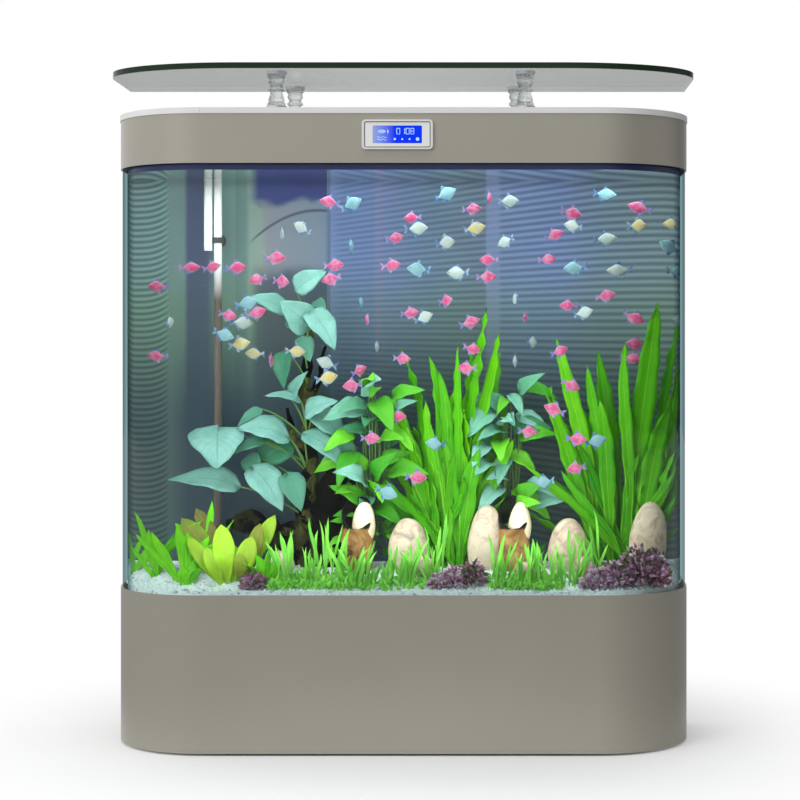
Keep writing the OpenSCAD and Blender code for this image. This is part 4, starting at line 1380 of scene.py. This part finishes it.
def add_grass_clump(build, rng, cx, cy, count, tall):
    """Thin blades that lean a little, from a small patch of gravel."""
    for _ in range(count):
        lean = math.radians(rng.gauss(0, 15))
        h = tall * rng.uniform(0.45, 1.0)
        x, y = cx + rng.uniform(-0.016, 0.016), cy + rng.uniform(-0.012, 0.015)
        z = bed_height(x, y) - 0.005
        top = (x + h * math.sin(lean), max(NEAREST_Y, y - rng.uniform(-0.02, 0.02)), z + h * math.cos(lean))
        blade(build, (x, y, z), top, rng.uniform(0.005, 0.009), rng.uniform(0.4, 1.0), rng, along=9, wave=0.4)


def add_carpet_leaf(build, rng):
    """A tiny leaf somewhere in the carpet."""
    x = rng.choice((rng.uniform(-0.27, 0.05), rng.uniform(-0.27, -0.05), rng.uniform(0.18, 0.33)))
    y = rng.uniform(-0.149, -0.090)
    base = Vector((x, y, bed_height(x, y) - 0.004 + rng.uniform(0, 0.012)))
    out = Vector((rng.uniform(-1, 1), rng.uniform(-0.4, 0.3), rng.uniform(0.3, 1.2))).normalized()
    leaf(build, base, base + out * rng.uniform(0.009, 0.02), 0.007, (0, -1, 0.6), oval,
         rng.uniform(0.2, 1.0), 0.1, 0.2, along=5, across=3)


def make_grass():
    """Thin grass in front, with a low carpet of tiny leaves at its foot."""
    rng = random.Random(21)
    build = Build()
    carpet_leaves = 700
    for clump in GRASS_CLUMPS:
        add_grass_clump(build, rng, *clump)
    for _ in range(carpet_leaves):
        add_carpet_leaf(build, rng)
    kinds = [leaf_material("blade_grass", (0.40, 0.92, 0.10), (0.06, 0.42, 0.03), (0.5, 0.95, 0.15), 1.0)]
    piece = thicken(build.piece("front_grass", TANK, kinds, slot="grass_leaf"), 0.0005)
    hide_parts("grass_front")


# Mauve mounds: x, y, radius, height, tone.
MOUNDS = (
    (0.078, -0.128, 0.018, 0.028, 0.8), (0.105, -0.125, 0.022, 0.038, 0.75),
    (0.145, -0.115, 0.026, 0.052, 0.35), (0.405, -0.125, 0.024, 0.040, 0.8),
    (0.440, -0.115, 0.028, 0.050, 0.6), (0.485, -0.105, 0.038, 0.088, 0.5),
    (0.525, -0.090, 0.028, 0.078, 0.6), (-0.300, -0.130, 0.020, 0.034, 0.5),
    (0.385, -0.130, 0.015, 0.026, 0.9))


def add_mound(build, rng, cx, cy, r, h, tone):
    """A mound of small curled leaves that point up and outwards."""
    leaves_per_metre = 7000
    foot = bed_height(cx, cy) - 0.004
    for _ in range(int(leaves_per_metre * r)):
        a, k = rng.uniform(0, 2 * math.pi), math.sqrt(rng.random())
        z = h * rng.uniform(0.1, 1.0) * math.sqrt(max(0.0, 1 - k * k * 0.9))
        base = Vector((cx + r * k * math.cos(a), cy + 0.8 * r * k * math.sin(a), foot + z))
        out = Vector((math.cos(a) * k, math.sin(a) * k - 0.4, rng.uniform(0.2, 1.2))).normalized()
        tip, width = base + out * rng.uniform(0.008, 0.016), rng.uniform(0.006, 0.010)
        leaf(build, base, tip, width, (0.2, -1, 0.6), oval, min(1, max(0, rng.gauss(tone, 0.35))),
             0.3, 0.4, along=5, across=3)


def clump_material():
    """Mauve leaves, green or pink where the tone is low or high."""
    p = Paint("clump_mauve", (0.4, 0.2, 0.4), 0.45)
    tint = p.ramp(p.tone(), [(0.0, (0.05, 0.10, 0.02)), (0.25, (0.16, 0.06, 0.05)), (0.6, (0.42, 0.16, 0.34)),
                             (0.85, (0.55, 0.30, 0.55)), (1.0, (0.62, 0.50, 0.56))])
    p.color(p.blend(p.math("MULTIPLY", p.noise(240, 3), 0.4), tint, (0.08, 0.05, 0.04)))
    return p.bump(p.noise(500, 3), 0.3, 0.001).m


def make_clumps():
    rng = random.Random(31)
    build = Build()
    for mound in MOUNDS:
        add_mound(build, rng, *mound)
    piece = thicken(build.piece("mauve_clumps", TANK, [clump_material()], slot="moss"), 0.0005)
    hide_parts("moss_clumps")


# ---------------------------------------------------------------- fish

# A fish's body from nose to tail, in lengths: place, half-height, half-thickness.
FISH_BODY = ((0.00, 0.008, 0.010), (0.05, 0.055, 0.045), (0.13, 0.125, 0.075), (0.24, 0.205, 0.095),
             (0.36, 0.268, 0.100), (0.47, 0.272, 0.092), (0.59, 0.205, 0.068), (0.70, 0.110, 0.040),
             (0.79, 0.050, 0.020))
# Outlines of the tail and fins, in lengths from the middle.
FISH_FINS = (
    ((-0.27, 0.03), (-0.40, 0.13), (-0.53, 0.20), (-0.44, 0.01), (-0.52, -0.18), (-0.39, -0.12),
     (-0.27, -0.03)),
    ((0.14, 0.255), (0.04, 0.385), (-0.03, 0.375), (-0.11, 0.19)),
    ((0.03, -0.26), (-0.05, -0.37), (-0.13, -0.31), (-0.25, -0.07), (-0.12, -0.18)),
    ((0.20, -0.20), (0.13, -0.30), (0.09, -0.23)))


def fish_body(build, turn, length):
    """The closed body; its tone is high at the nose, back, belly and tail."""
    sides = 12
    verts, tones, faces = [], [], []
    for t, half, thick in FISH_BODY:
        for i in range(sides):
            a = 2 * math.pi * i / sides
            s = math.sin(a)
            p = Vector((0.5 - t, thick * math.cos(a) * (1 - 0.35 * s * s), half * s))
            verts.append(turn @ (p * length))
            nose, tail = max(0.0, 0.30 - 3 * t), max(0.0, 2.2 * (t - 0.62))
            tones.append(min(1.0, abs(s) ** 2.4 * 0.72 + nose + tail))
    for j in range(len(FISH_BODY) - 1):
        for i in range(sides):
            n = (i + 1) % sides
            faces.append((j * sides + i, (j + 1) * sides + i, (j + 1) * sides + n, j * sides + n))
    faces.append(tuple(range(sides)))
    faces.append(tuple(reversed(range((len(FISH_BODY) - 1) * sides, len(FISH_BODY) * sides))))
    build.add(verts, faces, tone=tones)


def fish(build, at, length, heading, tilt):
    """A small deep-bodied tetra with a forked tail. heading turns it about Z, tilt pitches it."""
    turn = Matrix.Translation(at) @ Matrix.Rotation(heading, 4, "Z") @ Matrix.Rotation(tilt, 4, "Y")
    fish_body(build, turn, length)
    off = turn.to_3x3() @ Vector((0, 0.006 * length, 0))
    for outline in FISH_FINS:
        flat = [turn @ (Vector((x, 0, z)) * length) for x, z in outline]
        build.prism([v - off for v in flat], [v + off for v in flat], tone=1.0)
    for s in (-1, 1):
        eye = turn @ (Vector((0.385, s * 0.066, 0.022)) * length)
        build.add([eye + Vector(p) * 0.020 * length for p in ICO], ICO_FACES, kind=1)


# The school, by colour: x and z of each fish, and its way: 1 heads right, -1 left, 0 is seen end-on.
SCHOOL = {
    "pink": [
        (0.145, 1.115, 1), (0.18, 1.135, 0), (0.18, 1.01, -1), (0.175, 0.975, 1), (0.35, 1.105, 1),
        (0.315, 1.06, 1), (0.30, 1.01, 1), (0.48, 1.12, -1), (0.09, 0.925, 1), (0.14, 0.88, 1),
        (0.255, 0.89, 0), (0.345, 0.915, -1), (0.42, 0.935, 1), (0.47, 0.89, 1), (0.145, 0.825, 1),
        (0.475, 0.835, -1), (0.325, 0.82, 1), (0.465, 0.805, 1), (-0.15, 1.13, -1),
        (-0.015, 1.055, 1), (-0.025, 1.0, 1), (-0.265, 1.015, 1), (-0.44, 0.995, 1),
        (-0.395, 0.995, 1), (-0.35, 0.995, 1), (-0.495, 0.955, -1), (-0.30, 0.97, -1),
        (-0.25, 0.965, 1), (-0.145, 1.0, 1), (-0.145, 0.97, -1), (-0.305, 0.90, 1),
        (-0.495, 0.81, -1), (-0.07, 0.885, 0), (-0.09, 0.78, 1), (-0.10, 0.75, -1),
        (-0.01, 0.685, 1), (-0.065, 0.64, 1), (-0.275, 0.80, 0), (0.0, 0.805, 1), (-0.36, 0.895, 1),
        (0.02, 1.10, -1), (0.015, 0.90, 1), (0.03, 0.56, 1), (0.135, 0.785, -1), (0.26, 0.655, 1),
        (0.315, 0.70, -1), (0.36, 0.64, 1), (0.36, 0.58, -1), (0.35, 0.75, 1), (0.555, 0.69, 1)],
    "white": [
        (0.09, 1.045, 1), (0.22, 1.13, 1), (0.215, 1.05, -1), (0.115, 0.985, -1), (0.355, 1.08, -1),
        (0.42, 1.055, 1), (0.445, 0.99, -1), (0.235, 0.93, 0), (0.375, 0.90, 1), (0.56, 0.885, -1),
        (0.27, 0.84, 0), (-0.25, 1.065, 0), (-0.475, 0.88, 0), (-0.34, 0.88, 1), (-0.055, 0.83, 0),
        (0.045, 0.89, 1), (-0.16, 0.795, -1), (0.03, 1.075, 1), (-0.205, 1.075, -1),
        (0.235, 0.80, 0)],
    "gold": [
        (0.15, 1.075, 1), (0.48, 1.08, 1), (0.535, 1.09, -1), (-0.34, 0.835, 1), (-0.31, 0.815, -1),
        (-0.155, 0.765, 1), (-0.225, 0.82, 1)],
    "blue": [
        (0.09, 1.145, 1), (0.36, 0.995, -1), (0.42, 1.15, 1), (0.53, 1.04, -1), (0.545, 0.99, 1),
        (-0.105, 1.125, 1), (-0.11, 1.04, 0), (-0.37, 0.855, 1), (-0.085, 0.92, 0),
        (-0.03, 0.53, 1), (-0.325, 0.92, 1), (0.035, 0.99, -1), (0.07, 0.63, -1), (0.40, 0.635, 1),
        (0.295, 0.55, -1), (0.555, 0.605, 1)],
}


# Each colour's skin: core, back and belly, fins; and its shortest and longest fish.
FISH_SKINS = {
    "pink": ((0.50, 0.035, 0.13), (0.46, 0.20, 0.29), (0.12, 0.13, 0.32), 0.038, 0.047),
    "white": ((0.40, 0.45, 0.38), (0.32, 0.42, 0.42), (0.06, 0.12, 0.27), 0.042, 0.051),
    "gold": ((0.48, 0.38, 0.10), (0.36, 0.40, 0.32), (0.07, 0.14, 0.27), 0.042, 0.051),
    "blue": ((0.16, 0.33, 0.34), (0.22, 0.38, 0.42), (0.04, 0.11, 0.27), 0.042, 0.051),
}
HEADINGS = {1: 0.0, -1: math.pi, 0: 0.45 * math.pi}


def make_fish():
    """The school; the fish among the plants swim nearer to the front glass."""
    rng = random.Random(42)
    eye = plastic("fish_eye", (0.02, 0.02, 0.025), 0.2)
    plant_top, step_nearer = 0.78, 0.05
    for color, places in SCHOOL.items():
        core, pale, fin, shortest, longest = FISH_SKINS[color]
        build = Build()
        for x, z, way in places:
            heading = HEADINGS[way] + rng.gauss(0, 0.28)
            length = rng.uniform(shortest, longest)
            nearer = step_nearer if z < plant_top else 0.0
            y = max(front_y(x, 0.07), rng.uniform(-0.085, 0.02) - nearer)
            fish(build, Vector((x, y, z)), length, heading, rng.gauss(-0.05, 0.22))
        skin = fish_material("skin_" + color, core, pale, fin)
        build.piece("fish_" + color, TANK, [skin, eye], sharp=60)


# ---------------------------------------------------------------- making it all

make_camera()
make_studio()
cut_crystal = crystal_material()
dress_cad()
make_symbols()
make_groove()
for column in ("column_front_left", "column_front_right", "column_rear_left", "column_rear_right"):
    make_column(column, cut_crystal)
make_film()
make_water()
make_gravel()
make_stones()
make_pot("clay_pot_left", "jar_left", 1.0)
make_pot("clay_pot_right", "jar_right", 2.0)
make_driftwood()
make_tall_plant()
make_bushy_plant("anubias_middle", "bush_middle", 3)
make_bushy_plant("anubias_right", "bush_right", 4)
make_sword("sword_plant_middle", "sword_middle", MIDDLE_TOPS, 7)
make_sword("sword_plant_right", "sword_right", RIGHT_TOPS, 8)
make_tufts()
make_red_leaves()
make_grass()
make_clumps()
make_fish()
make_tank_lamps()

bpy.context.scene.view_settings.view_transform = "Standard"
